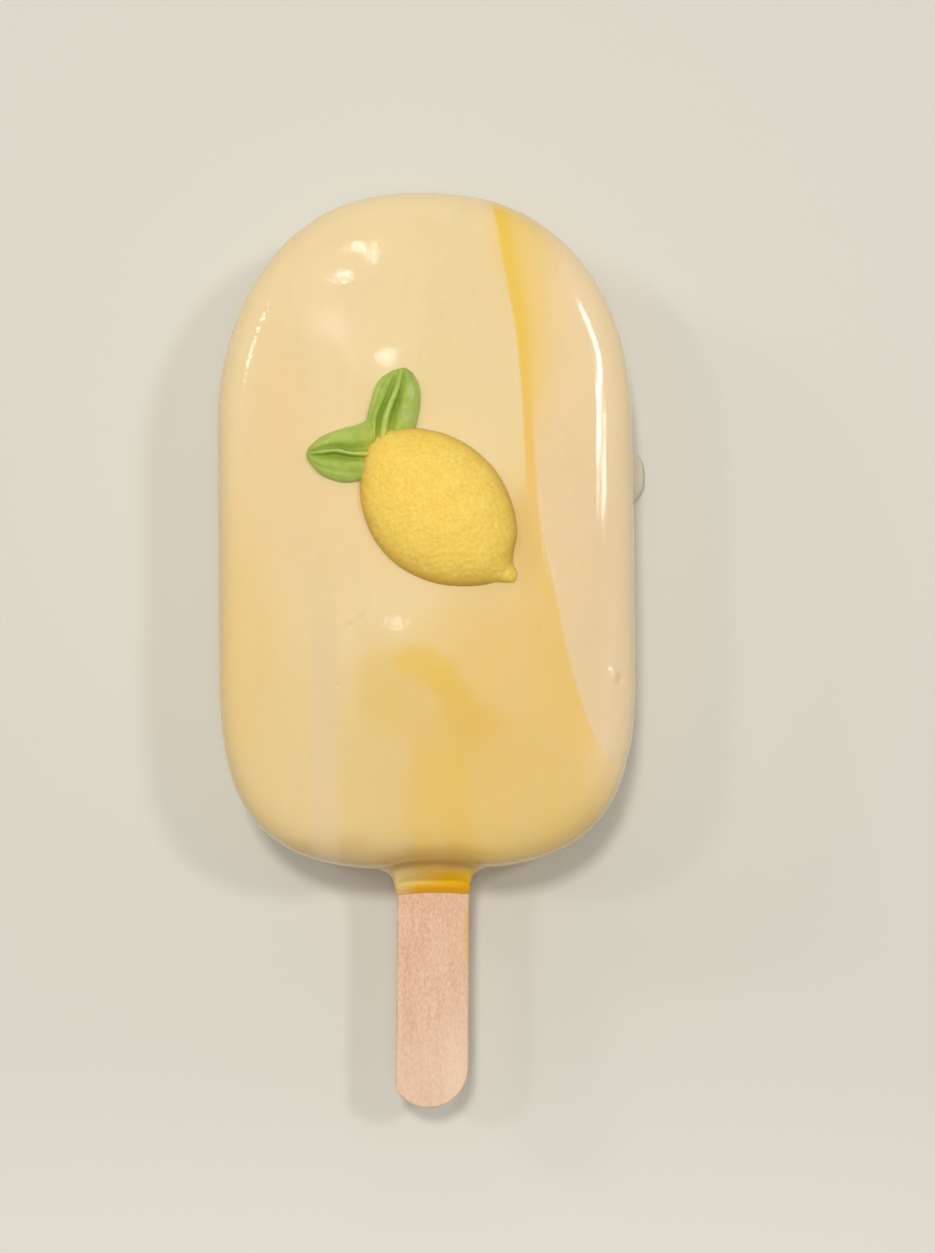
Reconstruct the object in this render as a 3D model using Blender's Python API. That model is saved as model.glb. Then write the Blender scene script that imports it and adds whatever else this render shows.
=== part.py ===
"""A cakesicle lying on its flat back: a moulded cake bar in candy coating, on a wooden stick,
with a lemon and two leaves of sugar paste on its face.

Frame: metres, +X across the bar, +Y from the stick to the bar's far end, +Z up, with the
origin on the resting surface, under the middle of the whole piece. The dimensions below and
all the shapes are worked out in millimetres, and become metres when a mesh is made. They are
laid out from a line near the bar's own, and moved to the middle as each mesh is made.
"""
import math

import bpy
import numpy as np

MM = 0.001
TO_MIDDLE = np.array([-0.28, 0.97, 0.0])

# The bar, seen from above: straight sides between two ends of superellipse form, the far end
# turned a little clockwise, and a shallow hollow in the near one where the stick comes out.
BAR_AT = np.array([-0.73, 0.20])
BAR_HALF_WIDTH = 27.45
FAR_END_FROM = 28.45                  # where the far end begins to round, along the bar
FAR_END_DEPTH = 30.53
FAR_END_POWER = 2.41
FAR_TURN = 0.032
FAR_TURN_OVER = 12.0                  # the length over which the turn comes in
NEAR_END_FROM = -6.93
NEAR_END_DEPTH = 23.46
NEAR_END_POWER = 3.23
SPREAD = 0.066                        # a little wider toward the far end
WAIST = 0.119                         # and drawn in again toward both ends
SPREAD_OVER = 50.0
HOLLOW_AT = -0.2
HOLLOW_HALF = 5.6
HOLLOW_DEPTH = 1.0
BAR_COLUMNS = 128

# Its section: a foot that tucks under, the widest line, an upright wall, and a rounded
# shoulder that is broader on the right than on the left.
BAR_HEIGHT = 25.0
WIDEST_AT = 7.0
SHOULDER_INSET = 8.0
SHOULDER_POWER = 3.0
SHOULDER_SKEW = 0.2                   # the right shoulder's share over the mean, the left's under
WALL_POWER = 9.0                      # the higher it is, the further up the wall stays upright
FOOT_INSET = 3.0
FOOT_POWER = 2.2
FOOT_STEPS = 4
COLLAR_STEPS = 6                      # rows of the wall beside the stick's collar
COLLAR_BLOCK_TOP = 19.2
SHOULDER_STEPS = 7
FACE_STEPS = 4
UNDERSIDE_SCALE = 0.5                 # the one ring inside the flat underside's rim
CROWN = 0.8                           # how far the face bulges
CROWN_MIDDLE = 14.5
CROWN_HALF_LENGTH = 46.0
RIPPLE = 0.04
RIPPLE_ACROSS = 19.0
RIPPLE_ALONG = 29.0
RIPPLE_SLANT = 30.0

# A drip of coating that ran out at the foot, on the right.
DRIP_AT = np.array([26.9, 24.0])
DRIP_REACH = 2.9
DRIP_LENGTH = 3.3
DRIP_LEVEL = 1.8

# The stick: a flat one, 9.5 mm wide, with ends punched to a slightly wide, off-centre arc.
STICK_WIDTH = 9.5
STICK_THICKNESS = 2.0
STICK_EDGE = 0.35
STICK_LENGTH = 93.0
STICK_NEAR_END = -61.17
STICK_LEVEL = 12.5
STICK_LEAN = 0.0145                   # sideways drift for each millimetre along
STICK_CROSSES = -0.22                 # its middle line at the collar's lip
PUNCH_RADIUS = 5.05
PUNCH_ASIDE = -0.4
STICK_STEPS = 18

# The collar of coating round the stick.
FIT_GAP = 0.3                         # left between neighbouring pieces
COLLAR_COAT = 0.6                     # coating on the stick, the fit gap included
COLLAR_FLARE = 1.2                    # against the wall, to the sides and below
FLARE_FADES = 0.45
HUMP_RISE = 3.4                       # and on top a hump, highest in the middle
HUMP_LENGTH = 2.5
HUMP_POWER = 1.6
HUMP_ARCH = 0.45
BEAD_COAT = 0.7
BEAD_LENGTH = 1.1
COLLAR_LIP = -33.5
LIP_ARCH = 0.28
COLLAR_COLUMNS = 5                    # half of the columns that the collar's patch takes
FLARE_STEPS = 3
HUMP_ROWS = (0, 0.06, 0.15, 0.3, 0.5, 0.75, 1)
LIP_STEPS = 4

# The lemon: half a lemon form with a nub, across the bar.
LEMON_AT = np.array([0.86, 15.99])
LEMON_TURN = math.radians(-47.0)
LEMON_HALF_LENGTH = 12.62
LEMON_HALF_WIDTH = 8.92
LEMON_POWER = 0.70
LEMON_BEND = 0.0028
LEMON_HEIGHT = 5.4
LEMON_TOP_POWER = 0.75
LEMON_EDGE = 0.6
LEMON_UNDER_SCALE = 0.5
NUB_RADIUS = 1.62
NUB_AT = 12.15
NUB_BLEND = 1.1
NUB_LOWER_FROM = 9.0
NUB_LOWER_POWER = 0.85
NECK_AT = 11.0
NECK_HALF = 1.0
NECK_DEPTH = 0.5
LEMON_COLUMNS = 64
LEMON_STEPS = 9

# The leaves: the left edge, left groove, midrib, right groove and right edge of each, every one
# a smooth line through five places from its base to its tip.
LEAF_COLUMNS = (-2, -1.9, -1.65, -1.3, -1, -0.7, -0.35, 0, 0.35, 0.7, 1, 1.3, 1.65, 1.9, 2)
LEAF_ROWS = (0, 0.1, 0.22, 0.36, 0.5, 0.64, 0.77, 0.88, 0.96, 1)
LEAF_THICKNESS = 2.3
LEAF_EDGE = 0.6
GROOVE_DEPTH = 0.85
GROOVE_WIDTH = 0.35
UPPER_LEAF = (
    ((-7.70, 24.60), (-8.00, 26.40), (-7.65, 29.00), (-6.75, 32.00), (-4.70, 34.00)),
    ((-6.60, 25.20), (-6.45, 27.40), (-5.95, 29.20), (-5.20, 30.90), (-4.00, 33.90)),
    ((-5.90, 25.50), (-5.50, 27.90), (-4.90, 29.70), (-4.05, 31.70), (-3.40, 34.10)),
    ((-4.90, 25.80), (-4.70, 27.90), (-4.25, 29.70), (-3.50, 31.70), (-2.90, 34.00)),
    ((-1.75, 26.00), (-1.60, 28.00), (-1.15, 29.80), (-1.45, 31.90), (-2.30, 33.75)),
)
SIDE_LEAF = (
    ((-8.50, 19.60), (-10.60, 19.50), (-12.70, 20.00), (-14.50, 21.40), (-15.75, 22.90)),
    ((-8.60, 22.30), (-10.70, 22.80), (-12.40, 23.05), (-14.20, 22.95), (-15.85, 23.15)),
    ((-8.50, 22.75), (-10.70, 23.25), (-12.40, 23.50), (-14.30, 23.25), (-15.90, 23.30)),
    ((-8.65, 23.50), (-10.30, 23.95), (-12.20, 24.15), (-14.20, 23.70), (-15.85, 23.45)),
    ((-8.75, 27.20), (-10.30, 26.45), (-12.50, 25.90), (-14.50, 25.05), (-15.75, 23.70)),
)


def evenly(points, count):
    """A closed outline read again at `count` points equally far apart along its length."""
    closed = np.vstack([points, points[:1]])
    run = np.r_[0.0, np.cumsum(np.linalg.norm(np.diff(closed, axis=0), axis=1))]
    at = np.linspace(0.0, run[-1], count, endpoint=False)
    return np.stack([np.interp(at, run, closed[:, 0]), np.interp(at, run, closed[:, 1])], axis=1)


def outward(points):
    """Unit normals of an anticlockwise closed outline: its tangent turned to the right."""
    along = np.roll(points, -1, axis=0) - np.roll(points, 1, axis=0)
    along /= np.linalg.norm(along, axis=1, keepdims=True)
    return np.stack([along[:, 1], -along[:, 0]], axis=1)


def step(value, low, high):
    """From 0 below the low value to 1 above the high one, as 3t² - 2t³."""
    share = ((value - low) / (high - low)).clip(0, 1)
    return share ** 2 * (3 - 2 * share)


def bar_outline(count):
    """The bar from above, anticlockwise from the middle of its far end: each end is
    width·cos^(2/power) across and depth·sin^(2/power) along, on straight sides between. The far
    end is turned, by an angle that comes in over a length."""
    turn = np.linspace(0.0, math.pi / 2, 200)
    cos, sin = np.cos(turn).clip(1e-9), np.sin(turn).clip(1e-9)
    far = np.stack([BAR_HALF_WIDTH * cos ** (2 / FAR_END_POWER),
                    FAR_END_FROM + FAR_END_DEPTH * sin ** (2 / FAR_END_POWER)], axis=1)
    near = np.stack([BAR_HALF_WIDTH * cos ** (2 / NEAR_END_POWER),
                     NEAR_END_FROM - NEAR_END_DEPTH * sin ** (2 / NEAR_END_POWER)], axis=1)
    right = np.vstack([near[::-1], far])
    left = right[::-1] * [-1, 1]
    points = np.vstack([left[:-1], right[:-1]])
    over = (points[:, 1] - FAR_END_FROM).clip(0)
    lean = FAR_TURN * step(over, 0, FAR_TURN_OVER)[:, None]
    points = points + lean * np.stack([over, -points[:, 0]], axis=1)
    share = points[:, 1] / SPREAD_OVER
    points[:, 0] *= 1 + SPREAD * share - WAIST * share ** 2
    return evenly(points, count) + BAR_AT


def section(angle):
    """Inset and height of the wall at an angle from -90 (foot) through 0 (widest) to 90: depth
    times 1 - cos^(2/power) inward, height times sin^(2/power) up or down."""
    cos = np.cos(angle).clip(1e-9)
    sin = np.abs(np.sin(angle))
    above = angle >= 0
    inset = np.where(above, SHOULDER_INSET * (1 - cos ** (2 / SHOULDER_POWER)),
                     FOOT_INSET * (1 - cos ** (2 / FOOT_POWER)))
    height = np.where(above,
                      WIDEST_AT + (BAR_HEIGHT - WIDEST_AT) * sin ** (2 / WALL_POWER),
                      WIDEST_AT - WIDEST_AT * sin ** (2 / FOOT_POWER))
    return inset, height


def wall_angle(height):
    """The section's angle at a height on the wall, from its formula turned round."""
    share = (height - WIDEST_AT) / (BAR_HEIGHT - WIDEST_AT)
    return np.arcsin(np.clip(share, 0, 1) ** (WALL_POWER / 2))


def skewed(inset, facing_right, angle):
    """The inset of a shoulder that faces more or less to the right; the foot's is even."""
    return inset * (1 + SHOULDER_SKEW * facing_right * (angle > 0))


def hollow(x, inset):
    """How far the near end is drawn in where the stick comes out: depth·e^-(x/half)^4, less and
    less up its shoulder."""
    fades = (1 - inset / SHOULDER_INSET).clip(0) ** 2
    return HOLLOW_DEPTH * np.exp(-((x - HOLLOW_AT) / HOLLOW_HALF) ** 4) * fades


def swell(x, y):
    """What the face has over a flat one: a crown that falls off as a parabola, and ripples,
    a sine across times a cosine along."""
    x, y = x - BAR_AT[0], y - BAR_AT[1] - CROWN_MIDDLE
    crown = CROWN * (1 - (x / BAR_HALF_WIDTH) ** 2 - (y / CROWN_HALF_LENGTH) ** 2)
    across = np.sin(2 * math.pi * x / RIPPLE_ACROSS + 0.8)
    along = np.cos(2 * math.pi * y / RIPPLE_ALONG + x / RIPPLE_SLANT)
    return crown + RIPPLE * across * along


def face_height(x, y):
    """The face's height at x and y, where the lemon and the leaves lie."""
    return BAR_HEIGHT + swell(x, y)


def bar_rings():
    """The bar's skin as rings from the underside to the face, each a ring of BAR_COLUMNS."""
    outline = bar_outline(BAR_COLUMNS)
    normal = outward(outline)
    wall = wall_angle(np.linspace(WIDEST_AT, COLLAR_BLOCK_TOP, COLLAR_STEPS + 1))
    angles = np.r_[np.linspace(-math.pi / 2, 0, FOOT_STEPS + 1)[:-1], wall[:-1],
                   np.linspace(wall[-1], math.pi / 2, SHOULDER_STEPS + 1)]
    inset, height = section(angles)
    inset = skewed(inset[:, None], normal[None, :, 0], angles[:, None])
    flat = outline[None] - normal[None] * inset[..., None]
    flat[..., 1] += hollow(flat[..., 0], inset) * (flat[..., 1] < 0)
    level = np.repeat(height[:, None], BAR_COLUMNS, axis=1)
    share = np.where(angles > 0, np.sin(angles) ** 2, 0.0)[:, None]
    level = level + share * swell(flat[..., 0], flat[..., 1])
    along = np.linalg.norm(outline - DRIP_AT, axis=1)
    run_out = DRIP_REACH * np.exp(-(along / DRIP_LENGTH) ** 2)
    run_out = run_out[None] * np.exp(-((level - DRIP_LEVEL) / DRIP_LEVEL) ** 2)
    flat = flat + normal[None] * run_out[..., None]
    walls = np.concatenate([flat, level[..., None]], axis=2)
    scale = np.linspace(1, 0, FACE_STEPS + 1, endpoint=False)[1:, None, None]
    face = LEMON_AT + (walls[-1, :, :2] - LEMON_AT) * scale
    face = np.concatenate([face, face_height(face[..., 0], face[..., 1])[..., None]], axis=2)
    under = (walls[:1] - [*BAR_AT, 0]) * UNDERSIDE_SCALE + [*BAR_AT, 0]
    return np.concatenate([under, walls, face])


def end_wall(x, z):
    """How far along the bar its near end's wall lies, at x and at height z. The wall's point
    is the outline's less its inset, so the outline's own x is found by repeating."""
    outline = bar_outline(2000)
    normal = outward(outline)
    near = outline[:, 1] < NEAR_END_FROM - NEAR_END_DEPTH / 2
    outline, normal = outline[near], normal[near]
    angle = wall_angle(z)
    inset, _ = section(angle)
    start = x
    for _ in range(5):
        facing_right = np.interp(start, outline[:, 0], normal[:, 0])
        start = x + skewed(inset, facing_right, angle) * facing_right
    facing_right = np.interp(start, outline[:, 0], normal[:, 0])
    inset = skewed(inset, facing_right, angle)
    return (np.interp(start, outline[:, 0], outline[:, 1]) + hollow(x, inset)
            - inset * np.interp(start, outline[:, 0], normal[:, 1]))


def stick_middle(y):
    """The x of the stick's middle line, which leans a little."""
    return STICK_CROSSES + STICK_LEAN * (y - COLLAR_LIP)


def stick_round(wide, tall):
    """Core points and outward directions round the stick's section, anticlockwise from the
    lower left, with `wide` steps on its broad sides and `tall` on its narrow ones. A quarter
    of each side turns through 45 degrees, half runs straight, and a quarter turns again."""
    core_half = np.array([STICK_WIDTH / 2, STICK_THICKNESS / 2]) - STICK_EDGE
    cores, ways = [], []
    for side, steps in enumerate((wide, tall, wide, tall)):
        part = np.arange(steps) / steps
        run = 2 * ((part - 0.25) / 0.5).clip(0, 1) - 1
        bend = (part / 0.25).clip(0, 1) - 1 + ((part - 0.75) / 0.25).clip(0, 1)
        facing = math.radians(90 * side - 90) + math.radians(45) * bend
        base = math.radians(90 * side - 90)
        out = np.array([math.cos(base), math.sin(base)])
        ahead = np.array([-out[1], out[0]])
        cores.append((out + run[:, None] * ahead) * core_half)
        ways.append(np.stack([np.cos(facing), np.sin(facing)], axis=1))
    return np.vstack(cores), np.vstack(ways)


def collar_coat(core, way, from_wall):
    """The coating's thickness on the stick. Against the wall it flares to the sides and below,
    by e^-(distance/length), and stands on top as a hump 1 - (distance/length)^power, which is
    arched from side to side."""
    across = core[:, 0] / (STICK_WIDTH / 2)
    up = way[:, 1].clip(0) ** 6
    flare = COLLAR_FLARE * math.exp(-from_wall / FLARE_FADES) * (1 - up)
    slope = 1 - (from_wall / HUMP_LENGTH) ** HUMP_POWER
    return COLLAR_COAT + flare + HUMP_RISE * up * slope * (1 - HUMP_ARCH * across ** 2)


def collar_rings(edge):
    """Rings from the patch's edge on the bar's wall, down the hump and along the collar to its
    lip, and back in along the stick to the pocket's end. A ring's point is the stick's core
    section plus a distance outward."""
    core, way = stick_round(2 * COLLAR_COLUMNS, COLLAR_STEPS)
    across = core[:, 0] / (STICK_WIDTH / 2)
    lip = COLLAR_LIP + LIP_ARCH * (1 - across ** 2)
    rings = []

    def ring(grow, y):
        flat = core + way * np.asarray(STICK_EDGE + grow)[..., None]
        return np.stack([flat[:, 0] + stick_middle(y), y, flat[:, 1] + STICK_LEVEL], axis=1)

    foot = ring(collar_coat(core, way, 0.0), lip)
    foot[:, 1] = end_wall(foot[:, 0], foot[:, 2])
    for part in np.arange(1, FLARE_STEPS) / FLARE_STEPS:
        flare = edge + (foot - edge) * part
        flare[:, 1] = end_wall(flare[:, 0], flare[:, 2])
        rings.append(flare)
    for share in HUMP_ROWS:
        distance = HUMP_LENGTH * share
        rings.append(ring(collar_coat(core, way, distance), foot[:, 1] - distance))
    rings.append(ring(np.full(len(core), BEAD_COAT), lip + BEAD_LENGTH))
    round_off = (BEAD_COAT - FIT_GAP) / 2
    for turn in np.linspace(0, math.pi, LIP_STEPS + 1):
        grow = FIT_GAP + round_off * (1 + math.cos(turn))
        rings.append(ring(np.full(len(core), grow), lip + round_off * (1 - math.sin(turn))))
    inner_end = STICK_NEAR_END + STICK_LENGTH + FIT_GAP
    rings.append(ring(np.full(len(core), FIT_GAP), np.full(len(core), inner_end)))
    return rings


def grid_faces(rows, columns):
    """Quads of a grid of closed rings, row after row, anticlockwise seen from outside."""
    row, column = np.meshgrid(np.arange(rows - 1), np.arange(columns), indexing="ij")
    here, beside = row * columns, (column + 1) % columns
    return np.stack([here + column, here + beside, here + columns + beside,
                     here + columns + column], axis=-1).reshape(-1, 4)


def fan(ring, pole):
    """Triangles from a ring of indices to one pole."""
    return np.stack([ring, np.roll(ring, -1), np.full(len(ring), pole)], axis=1)


def add_piece(name, points, faces, material):
    """One object from points in millimetres, with its faces turned outward, shaded smooth."""
    mesh = bpy.data.meshes.new(name)
    mesh.from_pydata(((points + TO_MIDDLE) * MM).tolist(), [], [list(map(int, face)) for face in faces])
    mesh.validate()
    mesh.materials.append(material)
    piece = bpy.data.objects.new(name, mesh)
    bpy.context.scene.collection.objects.link(piece)
    mesh.shade_smooth()
    mesh.set_sharp_from_angle(angle=math.radians(50))
    return piece


def finish(name, colour, roughness):
    """A Principled material with one colour, given as sRGB from 0 to 255."""
    material = bpy.data.materials.new(name)
    material.use_nodes = True
    shader = material.node_tree.nodes["Principled BSDF"]
    linear = [(value / 255) ** 2.2 for value in colour]
    shader.inputs["Base Color"].default_value = (*linear, 1)
    shader.inputs["Roughness"].default_value = roughness
    shader.inputs["Metallic"].default_value = 0
    return material


def make_coating():
    """The coated bar with the collar round its stick. The wall's grid leaves a block open
    where the stick goes in, and the collar's rings begin on that block's edge."""
    rings = bar_rings()
    rows = len(rings)
    middle = BAR_COLUMNS // 2
    left, right = middle - COLLAR_COLUMNS, middle + COLLAR_COLUMNS
    low = 1 + FOOT_STEPS
    high = low + COLLAR_STEPS
    index = np.arange(rows * BAR_COLUMNS).reshape(rows, BAR_COLUMNS)
    edge = np.r_[index[low, left:right], index[low:high, right],
                 index[high, right:left:-1], index[high:low:-1, left]]
    quads = grid_faces(rows, BAR_COLUMNS).reshape(rows - 1, BAR_COLUMNS, 4)
    keep = np.ones((rows - 1, BAR_COLUMNS), bool)
    keep[low:high, left:right] = False
    points = rings.reshape(-1, 3)
    collar = collar_rings(points[edge])
    top, under = np.array([[*LEMON_AT, face_height(*LEMON_AT)], [*BAR_AT, 0]])
    end = collar[-1].mean(axis=0)
    first = len(points)
    points = np.vstack([points, *collar, top, under, end])
    faces = [*quads[keep], *fan(index[-1], len(points) - 3), *fan(index[0][::-1], len(points) - 2)]
    size = len(edge)
    ring = edge
    for step in range(len(collar)):
        further = first + step * size + np.arange(size)
        faces += [*np.stack([ring, np.roll(ring, -1), np.roll(further, -1), further], axis=1)]
        ring = further
    faces += [*fan(ring, len(points) - 1)]
    return add_piece("coating", points, faces, finish("candy_coating", (238, 210, 152), 0.25))


def stick_outline(steps):
    """The stick from above, anticlockwise from its near left corner. Each end is a punched
    arc, wider than the stick and off its middle, so that one corner stays."""
    half = STICK_WIDTH / 2
    across = half * np.sin(np.linspace(-math.pi / 2, math.pi / 2, steps + 1))
    depth = PUNCH_RADIUS - np.sqrt((PUNCH_RADIUS ** 2 - (across - PUNCH_ASIDE) ** 2).clip(0))
    near = np.stack([across, STICK_NEAR_END + depth], axis=1)
    far = np.stack([across[::-1], STICK_NEAR_END + STICK_LENGTH - depth[::-1]], axis=1)
    points = np.vstack([near, far])
    points[:, 0] += stick_middle(points[:, 1])
    return points


def make_stick():
    """The stick: its outline drawn in along a round edge, top and bottom, between flat faces."""
    outline = stick_outline(STICK_STEPS)
    normal = outward(outline)
    turn = np.radians([-90, -45, 0, 0, 45, 90])
    inset = STICK_EDGE * (1 - np.cos(turn))
    straight = STICK_THICKNESS / 2 - STICK_EDGE
    level = STICK_LEVEL + STICK_EDGE * np.sin(turn) + np.repeat([-straight, straight], 3)
    flat = outline[None] - normal[None] * inset[:, None, None]
    points = np.concatenate([flat, np.repeat(level[:, None, None], len(outline), axis=1)], axis=2)
    size = len(outline)
    last = (len(turn) - 1) * size + np.arange(size)
    faces = [*grid_faces(len(turn), size), np.arange(size)[::-1], last]
    return add_piece("stick", points.reshape(-1, 3), faces, finish("birch_wood", (228, 186, 154), 0.7))


def smooth_most(a, b, soft):
    """The greater of two values, with the crease between them rounded over `soft`."""
    near = (1 - np.abs(a - b) / soft).clip(0)
    return np.maximum(a, b) + soft * near ** 2 / 4


def lemon_half_width(along, side):
    """Half the lemon's width along its axis: body (1 - t²)^power, joined on the upper side
    (side 1) to the nub's circle after a small Gaussian hollow, and on the lower side (side -1)
    to a nearly straight line to the nub's end."""
    tip = NUB_AT + NUB_RADIUS
    body = LEMON_HALF_WIDTH * (1 - (along / LEMON_HALF_LENGTH) ** 2).clip(0) ** LEMON_POWER
    nub = np.sqrt((NUB_RADIUS ** 2 - (along - NUB_AT) ** 2).clip(0))
    neck = NECK_DEPTH * np.exp(-((along - NECK_AT) / NECK_HALF) ** 2)
    line = (tip - along).clip(0) ** NUB_LOWER_POWER * (along > NUB_LOWER_FROM)
    upper = smooth_most(body, nub, NUB_BLEND) - neck
    lower = smooth_most(body, line, NUB_BLEND / 3)
    return np.where(side > 0, upper, lower).clip(0) * (along < tip)


def lemon_place(along, aside):
    """Lemon coordinates, along its slightly bent axis and aside, to x and y."""
    aside = aside + LEMON_BEND * along ** 2
    cos, sin = math.cos(LEMON_TURN), math.sin(LEMON_TURN)
    return np.stack([LEMON_AT[0] + along * cos - aside * sin,
                     LEMON_AT[1] + along * sin + aside * cos], axis=-1)


def lemon_outline():
    """The lemon from above, in its own coordinates, anticlockwise from its nub."""
    tip = NUB_AT + NUB_RADIUS
    turn = np.linspace(0, math.pi, 400)
    along = (tip - LEMON_HALF_LENGTH) / 2 + (tip + LEMON_HALF_LENGTH) / 2 * np.cos(turn)
    upper = np.stack([along, lemon_half_width(along, 1)], axis=1)
    lower = np.stack([along, -lemon_half_width(along, -1)], axis=1)[::-1]
    upper[[0, -1], 1] = 0
    lower[[0, -1], 1] = 0
    return evenly(np.vstack([upper[:-1], lower[:-1]]), LEMON_COLUMNS)


def lemon_height(along, aside):
    """Height over the face: half an ellipse across each section, its top following the
    section's mean width, so that the nub is low and grows out of the body."""
    half = lemon_half_width(along, aside)
    mean = (lemon_half_width(along, 1) + lemon_half_width(along, -1)) / 2
    top = LEMON_HEIGHT * (mean / LEMON_HALF_WIDTH) ** LEMON_TOP_POWER
    return top * np.sqrt((1 - (aside / half.clip(0.01)) ** 2).clip(0))


def clear_of_lemon(points):
    """Outline points that lie within the fit gap of the lemon are moved straight out from
    its middle onto that line, so that a leaf's base follows the lemon's edge."""
    local = lemon_outline()
    edge = lemon_place(local[:, 0], local[:, 1]) - LEMON_AT
    reach = np.linalg.norm(edge, axis=1) + 1.2 * FIT_GAP
    facing = np.arctan2(edge[:, 1], edge[:, 0])
    order = np.argsort(facing)
    away = points - LEMON_AT
    distance = np.linalg.norm(away, axis=-1)
    least = np.interp(np.arctan2(away[..., 1], away[..., 0]), facing[order], reach[order],
                      period=2 * math.pi)
    return LEMON_AT + away * (np.maximum(distance, least) / distance)[..., None]


def make_lemon():
    """The lemon: a solid of moulded sugar paste with a flat underside."""
    outline = lemon_outline()
    scale = np.sin(np.linspace(math.pi / 2, 0, LEMON_STEPS + 1))[:-1]
    local = outline[None] * scale[:, None, None]
    place = lemon_place(local[..., 0], local[..., 1])
    base = face_height(place[..., 0], place[..., 1]) + FIT_GAP
    level = base + lemon_height(local[..., 0], local[..., 1])
    level[0] = base[0] + LEMON_EDGE
    over = np.concatenate([place, level[..., None]], axis=2)
    rim = over[0].copy()
    rim[:, 2] = base[0]
    inner = lemon_place(*(outline * LEMON_UNDER_SCALE).T)
    inner = np.column_stack([inner, face_height(inner[:, 0], inner[:, 1]) + FIT_GAP])
    points = np.concatenate([inner[None], rim[None], over]).reshape(-1, 3)
    size = len(outline)
    rows = LEMON_STEPS + 2
    heart = lemon_place(0.0, 0.0)
    floor = face_height(*heart) + FIT_GAP
    poles = [[*heart, floor + LEMON_HEIGHT], [*heart, floor]]
    faces = [*grid_faces(rows, size),
             *fan((rows - 1) * size + np.arange(size), len(points)),
             *fan(np.arange(size)[::-1], len(points) + 1)]
    points = np.vstack([points, poles])
    return add_piece("lemon", points, faces, finish("lemon_paste", (245, 204, 96), 0.6))


def smooth_line(points, share):
    """A Catmull-Rom curve through a few points, at shares 0 to 1 of the way: each stretch is
    the cubic whose ends run along the chord of their neighbours."""
    points = np.asarray(points)
    ends = np.vstack([2 * points[0] - points[1], points, 2 * points[-1] - points[-2]])
    place = share * (len(points) - 1)
    first = np.minimum(place.astype(int), len(points) - 2)
    t = (place - first)[..., None]
    a, b, c, d = (ends[first + offset] for offset in range(4))
    return b + t / 2 * (c - a + t * (2 * a - 5 * b + 4 * c - d + t * (3 * (b - c) + d - a)))


def leaf_flat(lines, across, along):
    """A leaf from above: across -2 to 2 from its left edge to its right, straight between its
    five lines; along 0 to 1, base to tip. What would reach the lemon at the base is moved
    clear of it, and the rest of the leaf with it by a share (1 - along)^3."""
    runs = np.stack([smooth_line(line, along) for line in lines], axis=1)
    left = np.minimum((across + 2).astype(int), 3)
    part = (across + 2 - left)[:, None]
    flat = runs[:, left] * (1 - part) + runs[:, left + 1] * part
    return flat + (clear_of_lemon(flat[:1]) - flat[:1]) * (1 - along[:, None, None]) ** 3


def leaf_height(across, along):
    """Thickness over a leaf: full, rounding down at its edges and at its tip as 1 - t^4 to the
    half, less a groove on each side of the midrib."""
    full = (1 - (np.abs(across) / 2) ** 4)[None] * (1 - along ** 6)[:, None]
    grooves = np.exp(-((np.abs(across) - 1) / GROOVE_WIDTH) ** 2)[None]
    return (LEAF_EDGE + (LEAF_THICKNESS - LEAF_EDGE) * full ** 0.5
            - GROOVE_DEPTH * grooves * (1 - along ** 4)[:, None])


def make_leaf(name, lines):
    """A leaf: a thin solid of green sugar paste, its upper face over the grid of its lines and
    the same grid flat beneath it, with a wall between."""
    across, along = np.array(LEAF_COLUMNS), np.array(LEAF_ROWS)
    flat = leaf_flat(lines, across, along)
    bottom = face_height(flat[..., 0], flat[..., 1]) + FIT_GAP
    over = np.dstack([flat, bottom + leaf_height(across, along)])
    under = np.dstack([flat, bottom])
    rows, columns = bottom.shape
    index = np.arange(rows * columns).reshape(rows, columns)
    corner, beside, above, across_from = index[:-1, :-1], index[:-1, 1:], index[1:, :-1], index[1:, 1:]
    halves = np.stack([[corner, beside, across_from], [corner, across_from, above]], axis=-1)
    halves = np.moveaxis(halves, 0, -1).reshape(-1, 3)
    edge = np.r_[index[0, :-1], index[:-1, -1], index[-1, :0:-1], index[:0:-1, 0]]
    beyond = np.roll(edge, -1)
    wall = np.stack([edge + index.size, beyond + index.size, beyond, edge], axis=1)
    points = np.vstack([over.reshape(-1, 3), under.reshape(-1, 3)])
    faces = [*halves, *(halves[:, ::-1] + index.size), *wall]
    return add_piece(name, points, faces, finish(name + "_paste", (160, 184, 86), 0.5))


for old in list(bpy.data.objects):
    bpy.data.objects.remove(old)

make_coating()
make_stick()
make_lemon()
make_leaf("leaf_upper", UPPER_LEAF)
make_leaf("leaf_side", SIDE_LEAF)
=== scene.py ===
import math

import bpy
import numpy as np
from mathutils import Matrix, Vector


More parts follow.
